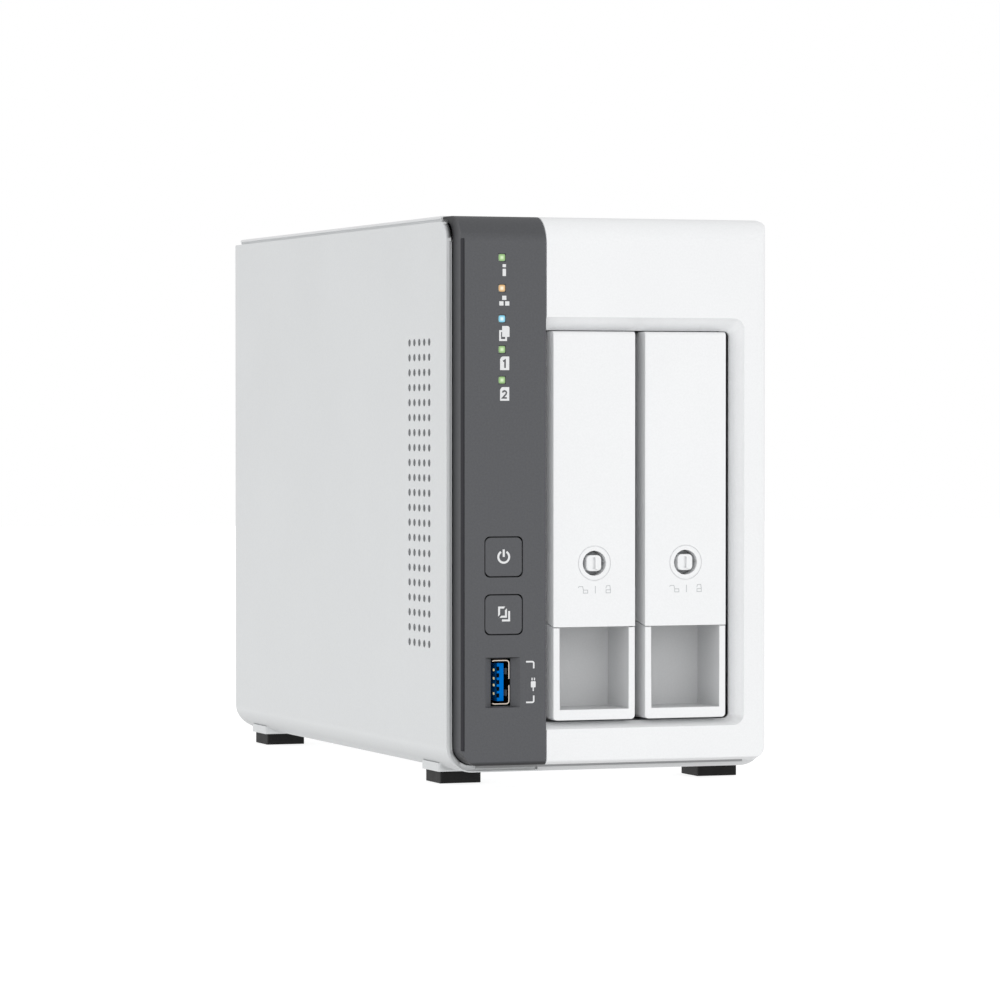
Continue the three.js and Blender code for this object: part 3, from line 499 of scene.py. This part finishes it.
def combine(target, tool, operation="DIFFERENCE"):
    """Cuts or joins, then removes the tool."""
    step = target.modifiers.new("combine", "BOOLEAN")
    step.object, step.operation, step.solver = tool, operation, "MANIFOLD"
    bpy.context.view_layer.update()
    evaluated = target.evaluated_get(bpy.context.evaluated_depsgraph_get())
    mesh = bpy.data.meshes.new_from_object(evaluated)
    target.modifiers.remove(step)
    target.data = mesh
    bpy.data.objects.remove(tool)
    return target


def soften(target, width, segments=2, where=None):
    """Rounds the sharp edges, or those of them for which where(a, b) holds, in millimetres."""
    bm = bmesh.new()
    bm.from_mesh(target.data)
    bmesh.ops.dissolve_limit(
        bm, angle_limit=FLAT_ANGLE, verts=bm.verts, edges=bm.edges, use_dissolve_boundaries=False
    )
    chosen = []
    for edge in bm.edges:
        if len(edge.link_faces) != 2 or edge.calc_face_angle(0) < EDGE_ANGLE:
            continue
        a, b = (v.co / MM for v in edge.verts)
        if where is None or where(a, b):
            chosen.append(edge)
    bmesh.ops.bevel(
        bm,
        geom=chosen,
        offset=width * MM,
        offset_type="OFFSET",
        segments=segments,
        profile=0.5,
        affect="EDGES",
        clamp_overlap=True,
        loop_slide=True,
    )
    bm.to_mesh(target.data)
    bm.free()
    return target


def weigh_normals(target):
    """Lets the large faces decide the normals, which keeps them flat next to small bevels."""
    weigh = target.modifiers.new("weigh", "WEIGHTED_NORMAL")
    weigh.keep_sharp = True
    weigh.weight = 90


def smooth(target):
    """Smooth shading between facets, with the flat faces kept flat."""
    mesh = target.data
    mesh.polygons.foreach_set("use_smooth", [True] * len(mesh.polygons))
    mesh.set_sharp_from_angle(angle=SMOOTH_ANGLE)
    weigh_normals(target)
    return target


def paint(target, *materials):
    target.data.materials.clear()
    for m in materials:
        target.data.materials.append(m)
    return target


def place(piece, body, slot, *stands_for):
    """Ties a piece to its body and hides the CAD nodes that it stands for; the material slot is not used.
    """
    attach(piece, body)
    if stands_for:
        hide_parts(*stands_for)
    return piece


def smoothing_group():
    """Geometry nodes that join split corners and shade smooth between facets."""
    group = bpy.data.node_groups.new("smooth_facets", "GeometryNodeTree")
    group.interface.new_socket("Geometry", in_out="INPUT", socket_type="NodeSocketGeometry")
    group.interface.new_socket("Geometry", in_out="OUTPUT", socket_type="NodeSocketGeometry")
    add = group.nodes.new
    start, end = add("NodeGroupInput"), add("NodeGroupOutput")
    merge = add("GeometryNodeMergeByDistance")
    merge.inputs["Distance"].default_value = JOIN_DISTANCE
    faces = add("GeometryNodeSetShadeSmooth")
    edges = add("GeometryNodeSetShadeSmooth")
    edges.domain = "EDGE"
    edges.inputs["Shade Smooth"].default_value = False
    angle = add("GeometryNodeInputMeshEdgeAngle")
    test = add("FunctionNodeCompare")
    test.data_type, test.operation = "FLOAT", "GREATER_THAN"
    test.inputs["B"].default_value = SMOOTH_ANGLE
    link = group.links.new
    link(start.outputs[0], merge.inputs["Geometry"])
    link(merge.outputs["Geometry"], faces.inputs["Geometry"])
    link(faces.outputs["Geometry"], edges.inputs["Geometry"])
    link(angle.outputs["Unsigned Angle"], test.inputs["A"])
    link(test.outputs["Result"], edges.inputs["Selection"])
    link(edges.outputs["Geometry"], end.inputs[0])
    return group


SMOOTHING = smoothing_group()


def dress(node, bevel):
    """A CAD node kept as it is: its material, joined facets and slightly rounded edges."""
    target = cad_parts[node]
    look = NODE_LOOKS.get(node, SLOT_LOOKS[NODE_SLOTS[node]])
    for material_slot in target.material_slots:
        material_slot.material = look
    weld = target.modifiers.new("weld", "WELD")
    weld.merge_threshold = JOIN_DISTANCE
    if bevel:
        flat = target.modifiers.new("flat", "DECIMATE")
        flat.decimate_type = "DISSOLVE"
        flat.angle_limit = FLAT_ANGLE
        edge = target.modifiers.new("edge", "BEVEL")
        edge.width = bevel * MM
        edge.segments = 2
        edge.limit_method = "ANGLE"
        edge.angle_limit = KEPT_EDGE_ANGLE
        edge.harden_normals = False
    shading = target.modifiers.new("shading", "NODES")
    shading.node_group = SMOOTHING
    weigh_normals(target)


# ---------------------------------------------------------------- camera, floor and light
# The camera's place in metres, and how many degrees it looks down and to the right.
CAMERA_PLACE = (-0.507864, -1.398142, 0.110238)
CAMERA_DOWN = 1.0606
CAMERA_RIGHT = 20.0912
CAMERA_LENS = 167.81
FLOOR_Z = -0.0002
FLOOR_GLOW = 0.84
# The light from a direction is the level plus the direction's dot product with the slope.
LIGHT_LEVEL = 0.877
LIGHT_SLOPE = (0, -0.31, 0.1)


def add_camera():
    data = bpy.data.cameras.new("camera")
    data.sensor_width = 36
    data.lens = CAMERA_LENS
    data.clip_start = 0.05
    data.clip_end = 50
    camera = bpy.data.objects.new("camera", data)
    camera.location = CAMERA_PLACE
    camera.rotation_euler = (math.radians(90 - CAMERA_DOWN), 0, -math.radians(CAMERA_RIGHT))
    bpy.context.scene.collection.objects.link(camera)
    bpy.context.scene.camera = camera


def add_softbox():
    """A large weak lamp high in front of the object, a little to the right."""
    data = bpy.data.lights.new("front_softbox", "AREA")
    data.shape = "RECTANGLE"
    data.size, data.size_y = 1.4, 1.2
    data.energy = 2
    light = bpy.data.objects.new("front_softbox", data)
    spot, target = Vector((0.6, -1.8, 0.9)), Vector((0, 0, 0.08))
    light.location = spot
    light.rotation_euler = (target - spot).to_track_quat("-Z", "Y").to_euler()
    bpy.context.scene.collection.objects.link(light)


def add_floor():
    """A pale flat floor just under the feet, far wider than the object."""
    bm = bmesh.new()
    columns = (-4, -2, 0, 2, 4)
    rows = []
    for i in range(25):
        y = -3.0 + i * 0.25
        rows.append([bm.verts.new((x, y, FLOOR_Z)) for x in columns])
    for near, far in zip(rows, rows[1:]):
        for k in range(len(columns) - 1):
            bm.faces.new([near[k], near[k + 1], far[k + 1], far[k]])
    floor = finish_bmesh("floor", bm)
    n = Nodes("floor_look")
    n.link(n.tint((150, 150, 150), n.spread(n.noise(6.0), 0.995, 1.0)), "Base Color")
    n.set("Emission Color", (1, 1, 1, 1))
    n.set("Emission Strength", FLOOR_GLOW)
    n.set("Roughness", 0.9)
    n.set("Specular IOR Level", 0.1)
    paint(floor, n.material)


def add_world():
    """White light all round, strongest from in front of the object; the backdrop itself shows as white."""
    world = bpy.data.worlds.new("studio")
    bpy.context.scene.world = world
    world.use_nodes = True
    tree = world.node_tree
    shade = tree.nodes["Background"]
    shade.inputs["Color"].default_value = (1, 1, 1, 1)
    direction = tree.nodes.new("ShaderNodeTexCoord")
    facing = tree.nodes.new("ShaderNodeVectorMath")
    facing.operation = "DOT_PRODUCT"
    facing.inputs[1].default_value = LIGHT_SLOPE
    level = tree.nodes.new("ShaderNodeMath")
    level.inputs[1].default_value = LIGHT_LEVEL
    tree.links.new(direction.outputs["Generated"], facing.inputs[0])
    tree.links.new(facing.outputs["Value"], level.inputs[0])
    tree.links.new(level.outputs[0], shade.inputs["Strength"])
    backdrop = tree.nodes.new("ShaderNodeBackground")
    backdrop.inputs["Color"].default_value = (1, 1, 1, 1)
    backdrop.inputs["Strength"].default_value = 1.0
    path = tree.nodes.new("ShaderNodeLightPath")
    mix = tree.nodes.new("ShaderNodeMixShader")
    tree.links.new(path.outputs["Is Camera Ray"], mix.inputs[0])
    tree.links.new(shade.outputs[0], mix.inputs[1])
    tree.links.new(backdrop.outputs[0], mix.inputs[2])
    tree.links.new(mix.outputs[0], tree.nodes["World Output"].inputs[0])


add_camera()
add_floor()
add_world()
add_softbox()
bpy.context.scene.view_settings.view_transform = "Standard"


# ---------------------------------------------------------------- shells
# A point this close to the outer surface counts as on it, and a trim piece keeps this gap to its neighbour.
SKIN = 0.05
SLIT = 0.02
# The cover's lower corner, and its upper front corner with the wall that is left there.
COVER_RADIUS = 8
CORNER_SIZE = 6
CORNER_WALL = 1.5
# The field of vent holes, from its rearmost column and its lowest row.
VENT_RADIUS = 1.12
VENT_PITCH = 4.5
VENT_COLUMNS = 5
VENT_ROWS = 21
VENT_BACK = COVER.y0 + 33.37
VENT_LOW = COVER.z0 + 37.95


def on_cover_skin(p):
    """On the outer skin: the flat side, its lower corner, or the rounded upper front corner."""
    low = COVER.z0 + COVER_RADIUS
    if p.z > low:
        return p.x < COVER.x0 + SKIN
    reach = math.hypot(p.x - (COVER.x0 + COVER_RADIUS), p.z - low)
    return reach > COVER_RADIUS - SKIN or p.z < COVER.z0 + SKIN


def on_cover_front(a, b):
    """An edge of the outer skin round the front of the cover."""
    in_front = max(a.y, b.y) < COVER.y0 + CORNER_SIZE + 0.2
    at_left = max(a.x, b.x) < COVER.x0 + COVER_RADIUS + SKIN
    return in_front and at_left and on_cover_skin(a) and on_cover_skin(b)


def add_side_cover():
    """The cover: round vent holes, a rounded front edge with a sunk lip, and a thin upper front corner."""
    piece = copy_of("side_cover_skin", "side_cover")
    paint(piece, GREY, VENT)
    holes = [
        circle(VENT_BACK - VENT_PITCH * column, VENT_LOW + VENT_PITCH * row, VENT_RADIUS, 24)
        for column in range(VENT_COLUMNS)
        for row in range(VENT_ROWS)
    ]
    combine(piece, prisms("vents", holes, "x", COVER.x0 - 1, COVER.x0 + 3))
    corner_z = COVER.z1 - CORNER_SIZE
    lip = rounded(COVER.x0 + 1.0, COVER.x1 + 1, COVER.z0 + 1.0, corner_z, [COVER_RADIUS - 1, 0, 0, 0])
    combine(piece, prisms("lip", [lip], "y", COVER.y0 - 1, COVER.y0 + 0.7))
    soften(piece, 0.75, 4, on_cover_front)
    behind = rounded(COVER.x0 + CORNER_WALL, COVER.x0 + 3, corner_z, COVER.z1 + 1, 0)
    combine(piece, prisms("corner", [behind], "y", COVER.y0 - 1, COVER.y0 + CORNER_SIZE))
    shade_vents(piece)
    return place(smooth(piece), "chassis", "cool_grey_plastic", "side_cover")


def shade_vents(piece):
    """The walls of the vent holes are painted darker, as shade."""
    margin = 2
    front = VENT_BACK - (VENT_COLUMNS - 1) * VENT_PITCH - margin
    top = VENT_LOW + (VENT_ROWS - 1) * VENT_PITCH + margin
    for face in piece.data.polygons:
        c = face.center / MM
        in_field = front < c.y < VENT_BACK + margin and VENT_LOW - margin < c.z < top
        if in_field and abs(face.normal.x) < 0.3 and c.x < COVER.x0 + 2.1:
            face.material_index = 1


def add_corner_gap():
    """A black piece, painted shade in the gap between the cover's upper front corner and the column."""
    inset = 0.45
    corner = rounded(
        COVER.y0 + inset,
        COVER.y0 + CORNER_SIZE,
        COVER.z1 - CORNER_SIZE,
        COVER.z1 - inset,
        [0, 0, 0, CORNER_SIZE - 0.5],
    )
    low, high = COVER.x0 + CORNER_WALL + SLIT, PANEL.x0 - SLIT
    black = prisms("cover_corner_gap", [corner], "x", low, high)
    place(paint(smooth(black), PITCH), "chassis", "black_plastic")


def add_top_strip():
    """The strip in the groove along the left edge of the top."""
    groove = rounded(SHELL.x0 + 0.3, SHELL.x0 + 1.1, COVER.z1 + 0.05, COVER.z1 + 0.96, 0)
    front, back = -94.2, SHELL.y1 - 2.5
    strip = prisms("top_seam_strip", [groove], "y", front, back)
    place(paint(strip, GREY), "chassis", "cool_grey_plastic")


def add_lower_seam_shade():
    """A grey strip in the seam below the column and the bezel, painted shade for the gap there."""
    seam = rounded(PANEL.x0 + 7, -PANEL.x0 - 5.5, COVER.z0 + 1.8, PANEL.z0 - SLIT, 0)
    seam_gap_strip = prisms("lower_seam_shade_strip", [seam], "y", COVER.y0 - 0.28, COVER.y0 - SLIT)
    place(paint(seam_gap_strip, SEAM_GAP_SHADE), "chassis", "cool_grey_plastic")


add_side_cover()
add_corner_gap()
add_top_strip()
add_lower_seam_shade()


# ---------------------------------------------------------------- drive trays
# The hole and the groove round a lock, and the knob in it, from its front to its bed.
KEYHOLE_RADIUS = 3.7
KEYHOLE_BACK = -105
RING_OUTER = 5.22
RING_INNER = 4.97
RING_DEPTH = 0.25
KNOB_HEIGHT = 2.9
PIN_END = 0.35
# The finger pocket below a lever.
POCKET_FLOOR = 22.5
POCKET_TOP = 59
POCKET_DEPTH = 18


def add_lever(number):
    """The lever with the hole and the groove round its lock, and the ends of its hinge pin."""
    node = f"tray_lever_{number}"
    box, lock, pin = Box(node), Box(f"lock_knob_{number}"), Box(f"lever_hinge_pin_{number}")
    piece = copy_of(f"tray_lever_skin_{number}", node)
    keyhole = [circle(lock.x, lock.z, KEYHOLE_RADIUS, 48)]
    combine(piece, prisms("keyhole", keyhole, "y", box.y0 - 1, KEYHOLE_BACK))
    ring = prisms("ring", [circle(lock.x, lock.z, RING_OUTER, 64)], "y", box.y0 - 1, box.y0 + RING_DEPTH)
    core = prisms("core", [circle(lock.x, lock.z, RING_INNER, 64)], "y", box.y0 - 2, box.y0 + 2)
    combine(ring, core)
    combine(piece, ring)
    for x0, x1 in ((box.x0, box.x0 + PIN_END), (box.x1 - PIN_END, box.x1)):
        combine(piece, prisms("cap", [circle(pin.y, pin.z, 1.3, 24)], "x", x0, x1), "UNION")

    def near_lock(p):
        return abs(p.x - lock.x) < 8 and abs(p.z - lock.z) < 8

    def outside(a, b):
        return max(a.y, b.y) < box.y0 + 0.01 and not near_lock(a)

    soften(piece, 0.45, 3, outside)
    return place(paint(smooth(piece), WHITE), f"lever_{number}", "white_plastic", node)


def at(x, z, outlines):
    """Outlines drawn round a point of their own, moved to where they belong."""
    return [[(x + a, z + b) for a, b in outline] for outline in outlines]


def padlock(left, right, shackle):
    """The outline of a padlock: its body and its shackle."""
    low, high = -8.85, -7.95
    line = 0.22
    body = ribbon([(left, low), (right, low), (right, high), (left, high)], line, closed=True)
    return body + ribbon(shackle, line)


def add_lock_signs(number):
    """Open padlock, bar and closed padlock, faint marks under the lock."""
    lock = Box(f"lock_knob_{number}")
    face = Box(f"tray_lever_{number}").y0
    opened = padlock(-3.5, -2.15, [(-5.1, -7.3), (-4.95, -6.9), (-3.75, -6.9), (-3.5, -7.9)])
    bar = rounded(0.18, 0.42, -8.95, -6.75, 0)
    closed = padlock(3.7, 5.1, [(3.65, -7.5), (3.85, -6.75), (4.9, -6.7), (5.1, -7.9)])
    shapes = at(lock.x, lock.z, [*opened, bar, *closed])
    piece = prisms(f"lock_signs_{number}", shapes, "y", face - 0.02, face + 0.04)
    return place(paint(piece, FADED_INK), f"lever_{number}", "white_plastic")


def add_knob(number):
    """The lock's knob: a light square boss with a coin slot, on a bed painted darker as shade."""
    node = f"lock_knob_{number}"
    box = Box(node)

    def on_rim(p):
        return p.y < box.y0 + 0.05 and max(abs(p.x - box.x), abs(p.z - box.z)) > 1.75

    piece = paint(copy_of(f"lock_knob_skin_{number}", node), WHITE, KNOB_BED)
    soften(piece, 0.35, 3, lambda a, b: on_rim(a) and on_rim(b))
    # Painted shade: the faces deep in the lock are darker.
    for face in piece.data.polygons:
        if face.center.y / MM > box.y0 + KNOB_HEIGHT:
            face.material_index = 1
    return place(smooth(piece), f"lock_{number}", "white_plastic", node)


def add_tray_face(number):
    """The tray's frame, its pocket's floor rolled over at the front, with painted shade inside the pocket.
    """
    node = f"tray_frame_{number}"
    box = Box(node)
    piece = copy_of(f"tray_frame_skin_{number}", node)

    def in_front(a, b):
        return max(a.y, b.y) < box.y0 + 0.01

    def floor_lip(a, b):
        return in_front(a, b) and abs(a.z - POCKET_FLOOR) < 0.01 and abs(b.z - POCKET_FLOOR) < 0.01

    def front_rim(a, b):
        return in_front(a, b) and not floor_lip(a, b)

    paint(piece, WHITE, POCKET)
    soften(piece, 0.7, 4, floor_lip)
    soften(piece, 0.22, 2, front_rim)
    # Painted shade: the faces inside the finger pocket are darker.
    for face in piece.data.polygons:
        c = face.center / MM
        inside = box.x0 + 1.5 < c.x < box.x1 - 1.5 and POCKET_FLOOR - 0.5 < c.z < POCKET_TOP
        if inside and box.y0 + 0.8 < c.y < box.y0 + POCKET_DEPTH:
            face.material_index = 1
    return place(smooth(piece), f"tray_{number}", "white_plastic", node)


for tray_number in TRAY_NUMBERS:
    add_lever(tray_number)
    add_lock_signs(tray_number)
    add_knob(tray_number)
    add_tray_face(tray_number)


# ---------------------------------------------------------------- control column
# The column of status lights: the step between two, and the top one's middle from the guide's top.
LENS_PITCH = 9.0
LENS_INSET = 1.025


def column_print(name, outlines, ink=INK, lift=0.03, body="chassis"):
    """A printed sign on the column's face, or on a key in it."""
    piece = prisms(name, outlines, "y", FRONT - lift, FRONT + 0.05)
    return place(paint(piece, ink), body, "white_plastic")


def lens_z(index):
    """The height of the middle of a status light, counted from the top."""
    return GUIDE.z1 - LENS_INSET - LENS_PITCH * index


def add_status_sign():
    dot = rounded(0.19, 1.25, -2.83, -1.93, 0)
    stem = rounded(0.19, 1.25, -5.43, -3.3, 0)
    column_print("status_sign", at(GUIDE.x, lens_z(0), [dot, stem]))


def add_network_sign():
    upper = rounded(0.07, 1.37, -3.45, -2.21, 0)
    lower = [rounded(x0, x0 + 1.3, -5.1, -3.85, 0) for x0 in (-0.83, 1.0)]
    column_print("network_sign", at(GUIDE.x, lens_z(1), [upper, *lower]))


def add_copy_sign():
    """A sheet with a cut corner in front of the edges of another."""
    page = [(0.05, -5.3), (2.35, -5.3), (2.35, -2.5), (1.95, -2.1), (0.05, -2.1)]
    behind = [
        rounded(-0.88, -0.3, -6.52, -3.33, 0),
        rounded(-0.3, 1.57, -6.52, -5.95, 0),
        rounded(1.0, 1.57, -5.95, -5.3, 0),
        rounded(-0.3, 0.05, -3.9, -3.33, 0),
    ]
    column_print("copy_sign", at(GUIDE.x, lens_z(2), [page, *behind]))


def digit_strokes(number):
    """The strokes of a bay number, from the middle of its foot."""
    if number == 1:
        return ribbon([(-0.5, 1.95), (0.12, 2.3), (0.12, 0)], 0.5)
    curve = [
        (-0.62, 1.75),
        (-0.5, 2.1),
        (-0.1, 2.27),
        (0.32, 2.17),
        (0.55, 1.8),
        (0.45, 1.35),
        (-0.05, 0.8),
        (-0.6, 0.2),
        (0.7, 0.2),
    ]
    return ribbon(curve, 0.47)


def add_bay_sign(number):
    """A white tile like a drive, with the bay's number on it."""
    z = lens_z(number + 2)
    tile = [(-0.6, -6.07), (2.27, -6.07), (2.27, -2.07), (0.2, -2.07), (-0.25, -2.28), (-0.6, -2.9)]
    column_print(f"bay_tile_{number}", at(GUIDE.x, z, [tile]))
    strokes = at(GUIDE.x + 0.83, z - 5.45, digit_strokes(number))
    column_print(f"bay_number_{number}", strokes, DARK_INK, 0.05)


def add_column_signs():
    """Status sign, network sign, copy sign and the two bay numbers, printed below their lights."""
    add_status_sign()
    add_network_sign()
    add_copy_sign()
    for number in TRAY_NUMBERS:
        add_bay_sign(number)


def add_power_sign():
    power = Box("power_button")
    radius = 1.7
    turns = [math.radians(30 + 300 * i / 36) for i in range(37)]
    arc = [(radius * math.sin(t), radius * math.cos(t)) for t in turns]
    bar = rounded(-0.33, 0.33, 0.0, 2.2, 0)
    column_print("power_sign", at(power.x, power.z, [*ribbon(arc, 0.62), bar]), body="power_key")


def add_copy_key_sign():
    """Two overlapping sheets, the front one open at two corners."""
    copy = Box("copy_button")
    front = [
        [(-1.76, -0.55), (-1.16, 0.1), (-1.16, 1.8), (-1.76, 2.4)],
        [(-1.76, 2.4), (-1.16, 1.8), (0.0, 1.8), (0.45, 2.4)],
        [(0.4, -0.3), (1.0, -0.9), (1.0, 1.85), (0.4, 1.3)],
        [(-1.3, -0.9), (1.0, -0.9), (0.4, -0.3), (-0.8, -0.3)],
    ]
    behind = [rounded(1.4, 1.98, -2.0, 1.05, 0), rounded(-0.55, 1.4, -2.0, -1.42, 0)]
    column_print("copy_key_sign", at(copy.x, copy.z, front + behind), body="copy_key")


def bracket(sign):
    """A corner bracket above (1) or below (-1) the socket's middle."""
    end, radius, right = sign * 6.0, 0.45, 2.4
    turns = [math.pi / 2 * i / 4 for i in range(5)]
    arc = [
        (right - radius + radius * math.sin(t), end - sign * radius + sign * radius * math.cos(t))
        for t in turns
    ]
    return ribbon([(-0.02, end), *arc, (right, end - sign * 2.0)], 0.48)


def add_socket_signs():
    """Corner brackets and a plug pictogram beside the front socket."""
    socket = Box("front_usb_shell")
    plug = [
        rounded(-0.75, 0.75, -1.6, 0.2, 0.2, 3),
        rounded(-0.55, -0.2, 0.45, 1.25, 0),
        rounded(0.2, 0.55, 0.45, 1.25, 0),
        rounded(-0.17, 0.17, -2.7, -1.6, 0),
    ]
    shapes = [*bracket(1), *bracket(-1), *at(2.25, 0, plug)]
    column_print("socket_signs", at(socket.x + 7.4, socket.z, shapes))


GREEN_LIGHT = ((214, 240, 194), (146, 186, 120))
AMBER_LIGHT = ((254, 244, 218), (222, 178, 122))
BLUE_LIGHT = ((230, 254, 255), (128, 204, 232))
LENS_COLOURS = [GREEN_LIGHT, AMBER_LIGHT, BLUE_LIGHT, GREEN_LIGHT, GREEN_LIGHT]


def add_lenses():
    """Five lit square lenses at the ends of the light guide's prongs."""
    half = 1.04
    outline = rounded(-half, half, -half, half, 0.2, 3)
    for i, (centre, edge) in enumerate(LENS_COLOURS):
        lens = prisms(f"status_lens_{i + 1}", [outline], "y", 0, 1.6)
        soften(lens, 0.12, 2, lambda a, b: max(a.y, b.y) < 0.01)
        lens.location = Vector((GUIDE.x, GUIDE.y0 - 0.03, lens_z(i))) * MM
        smooth(paint(lens, glow(f"lens_glow_{i + 1}", centre, edge)))
        place(lens, "chassis", "light_guide_acrylic")


def add_rebate_shade_strip():
    """The strip in the rebate along the column's left edge, dark as painted shade."""
    low, high = 11.2, 161.5
    strip = rounded(PANEL.x0 - SLIT, PANEL.x0 - SLIT + 1, low, high, 0)
    piece = prisms("column_inlay", [strip], "y", FRONT + 0.35, FRONT + 0.82)

    def outer_edge(a, b):
        return max(a.y, b.y) < FRONT + 0.4 and max(a.x, b.x) < PANEL.x0

    soften(piece, 0.2, 2, outer_edge)
    place(paint(smooth(piece), REBATE_SHADE), "chassis", "charcoal_plastic")


class Socket:
    """A type A socket.

    outward is -1 where its mouth faces the front and 1 where it faces the back. Seen from outside, the
    near wall is on the left, and the far wall, with the notch and the springs, is on the right.
    """

    def __init__(self, label, number, outward):
        self.outward = outward
        self.shell_node = f"{label}_shell{number}"
        self.insert_node = f"{label}_insert{number}"
        self.name = label + number
        self.shell, self.insert = Box(self.shell_node), Box(self.insert_node)
        left, right = self.shell.x0, self.shell.x1
        self.near, self.far = (left, right) if outward < 0 else (right, left)
        self.mouth = self.shell.y0 if outward < 0 else self.shell.y1
        self.tip = self.insert.y0 if outward < 0 else self.insert.y1
        self.contact_side = self.shell.x + outward * 0.8

    def behind(self, y, a, b):
        """Two depths behind a Y, as a low and a high Y."""
        return sorted((y - self.outward * a, y - self.outward * b))

    def strip(self, x, a, b, z0, z1):
        """A rectangle from a to b past an X, counted in the direction from the near wall to the far one."""
        return rounded(*sorted((x - self.outward * a, x - self.outward * b)), z0, z1, 0)


def add_usb_shell(socket):
    """The bent sheet shell with a notch in the middle of its far wall, painted black inside as shade."""
    shell, wall = socket.shell, 0.3
    depth = shell.y1 - shell.y0
    outer = rounded(shell.x0, shell.x1, shell.z0, shell.z1, 1.0, 5)
    inner = rounded(shell.x0 + wall, shell.x1 - wall, shell.z0 + wall, shell.z1 - wall, 0.7, 5)
    notch = socket.strip(socket.far, 0.2, -0.7, shell.z - 0.95, shell.z + 0.95)
    relief = socket.strip(socket.near, -0.1, 0.8, shell.z0 + 0.4, shell.z1 - 0.4)
    body = prisms(f"{socket.name}_shell_skin", [outer], "y", *socket.behind(socket.mouth, 0, depth))
    for outline, end in ((inner, depth - 0.6), (notch, 1.6), (relief, 1.8)):
        combine(body, prisms("cut", [outline], "y", *socket.behind(socket.mouth, -1, end)))
    paint(body, TINNED, PITCH)
    # Painted shade: the faces inside the shell are black.
    for face in body.data.polygons:
        c = face.center / MM
        across = shell.x0 + wall / 2 < c.x < shell.x1 - wall / 2
        upright = shell.z0 + wall / 2 < c.z < shell.z1 - wall / 2
        if across and upright and abs(c.y - socket.mouth) > wall:
            face.material_index = 1
    place(smooth(body), "chassis", "plated_steel", socket.shell_node)


def add_usb_springs(socket):
    """Two bent spring fingers along the shell's far wall, dark grey as painted shade inside the socket."""
    outward = socket.outward
    x = socket.far + outward * 0.75
    tip, bend, root = (socket.mouth - outward * depth for depth in (0.9, 2.6, 4.6))
    finger = [
        (x, tip),
        (x + outward * 0.55, bend),
        (x, root),
        (x - outward * 0.2, root),
        (x + outward * 0.3, bend),
        (x - outward * 0.2, tip),
    ]
    bm = bmesh.new()
    for z in (socket.shell.z - 3.2, socket.shell.z + 3.2):
        prism_into(bm, finger, "z", z - 0.9, z + 0.9)
    springs = finish_bmesh(f"{socket.name}_springs", bm)
    place(paint(springs, SPRING_SHADE), "chassis", "plated_steel")


def add_usb_tongue(socket, look, slot):
    """The tongue with black pieces as painted shade in the slots at its tip, and contacts farther in."""
    insert, side = socket.insert, socket.contact_side
    outline = socket.strip(side, 0, 2.1, insert.z0, insert.z1)
    tongue = prisms(f"{socket.name}_tongue_skin", [outline], "y", insert.y0, insert.y1)
    soften(tongue, 0.12, 2)
    place(paint(smooth(tongue), look), "chassis", slot, socket.insert_node)
    # Painted shade: black pieces for the slots at the tongue's tip.
    half = 0.62
    middles = [insert.z + (i - 2) * 1.98 for i in range(5)]
    beds = [socket.strip(side, -0.03, 0.72, z - half, z + half) for z in middles]
    dark = prisms(f"{socket.name}_slot_shades", beds, "y", *socket.behind(socket.tip, -0.04, 0.4))
    place(paint(dark, PITCH), "chassis", "black_plastic")
    half = 0.34
    middles = [insert.z + z for z in (-3.5, -1.0, 1.0, 3.5)]
    pads = [socket.strip(side, -0.1, 0.1, z - half, z + half) for z in middles]
    contacts = prisms(f"{socket.name}_contacts", pads, "y", *socket.behind(socket.tip, 2.2, 3.2))
    place(paint(contacts, CONTACT), "chassis", "plated_steel")


def add_usb(label, number, outward, look, slot):
    socket = Socket(label, number, outward)
    add_usb_shell(socket)
    add_usb_springs(socket)
    add_usb_tongue(socket, look, slot)


add_rebate_shade_strip()
add_usb("front_usb", "", -1, BLUE, "blue_insert")
add_usb("rear_usb", "_1", 1, BLACK, "black_plastic")
add_usb("rear_usb", "_2", 1, BLACK, "black_plastic")
add_column_signs()
add_power_sign()
add_copy_key_sign()
add_socket_signs()
add_lenses()

# ---------------------------------------------------------------- CAD nodes kept as they are
BEVELS = {
    "front_bezel": 0.3,
    "control_panel": 0.25,
    "main_shell": 0.3,
    "back_panel": 0,
    "power_button": 0.25,
    "copy_button": 0.25,
    "fan_rotor": 0.15,
    "fan_frame": 0.3,
    "hard_drive_1": 0.3,
    "hard_drive_2": 0.3,
    "front_left_foot": 0.12,
    "front_right_foot": 0.12,
    "back_left_foot": 0.12,
    "back_right_foot": 0.12,
}
for kept in sorted(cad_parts):
    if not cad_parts[kept].hide_render:
        dress(kept, BEVELS.get(kept, 0.1))
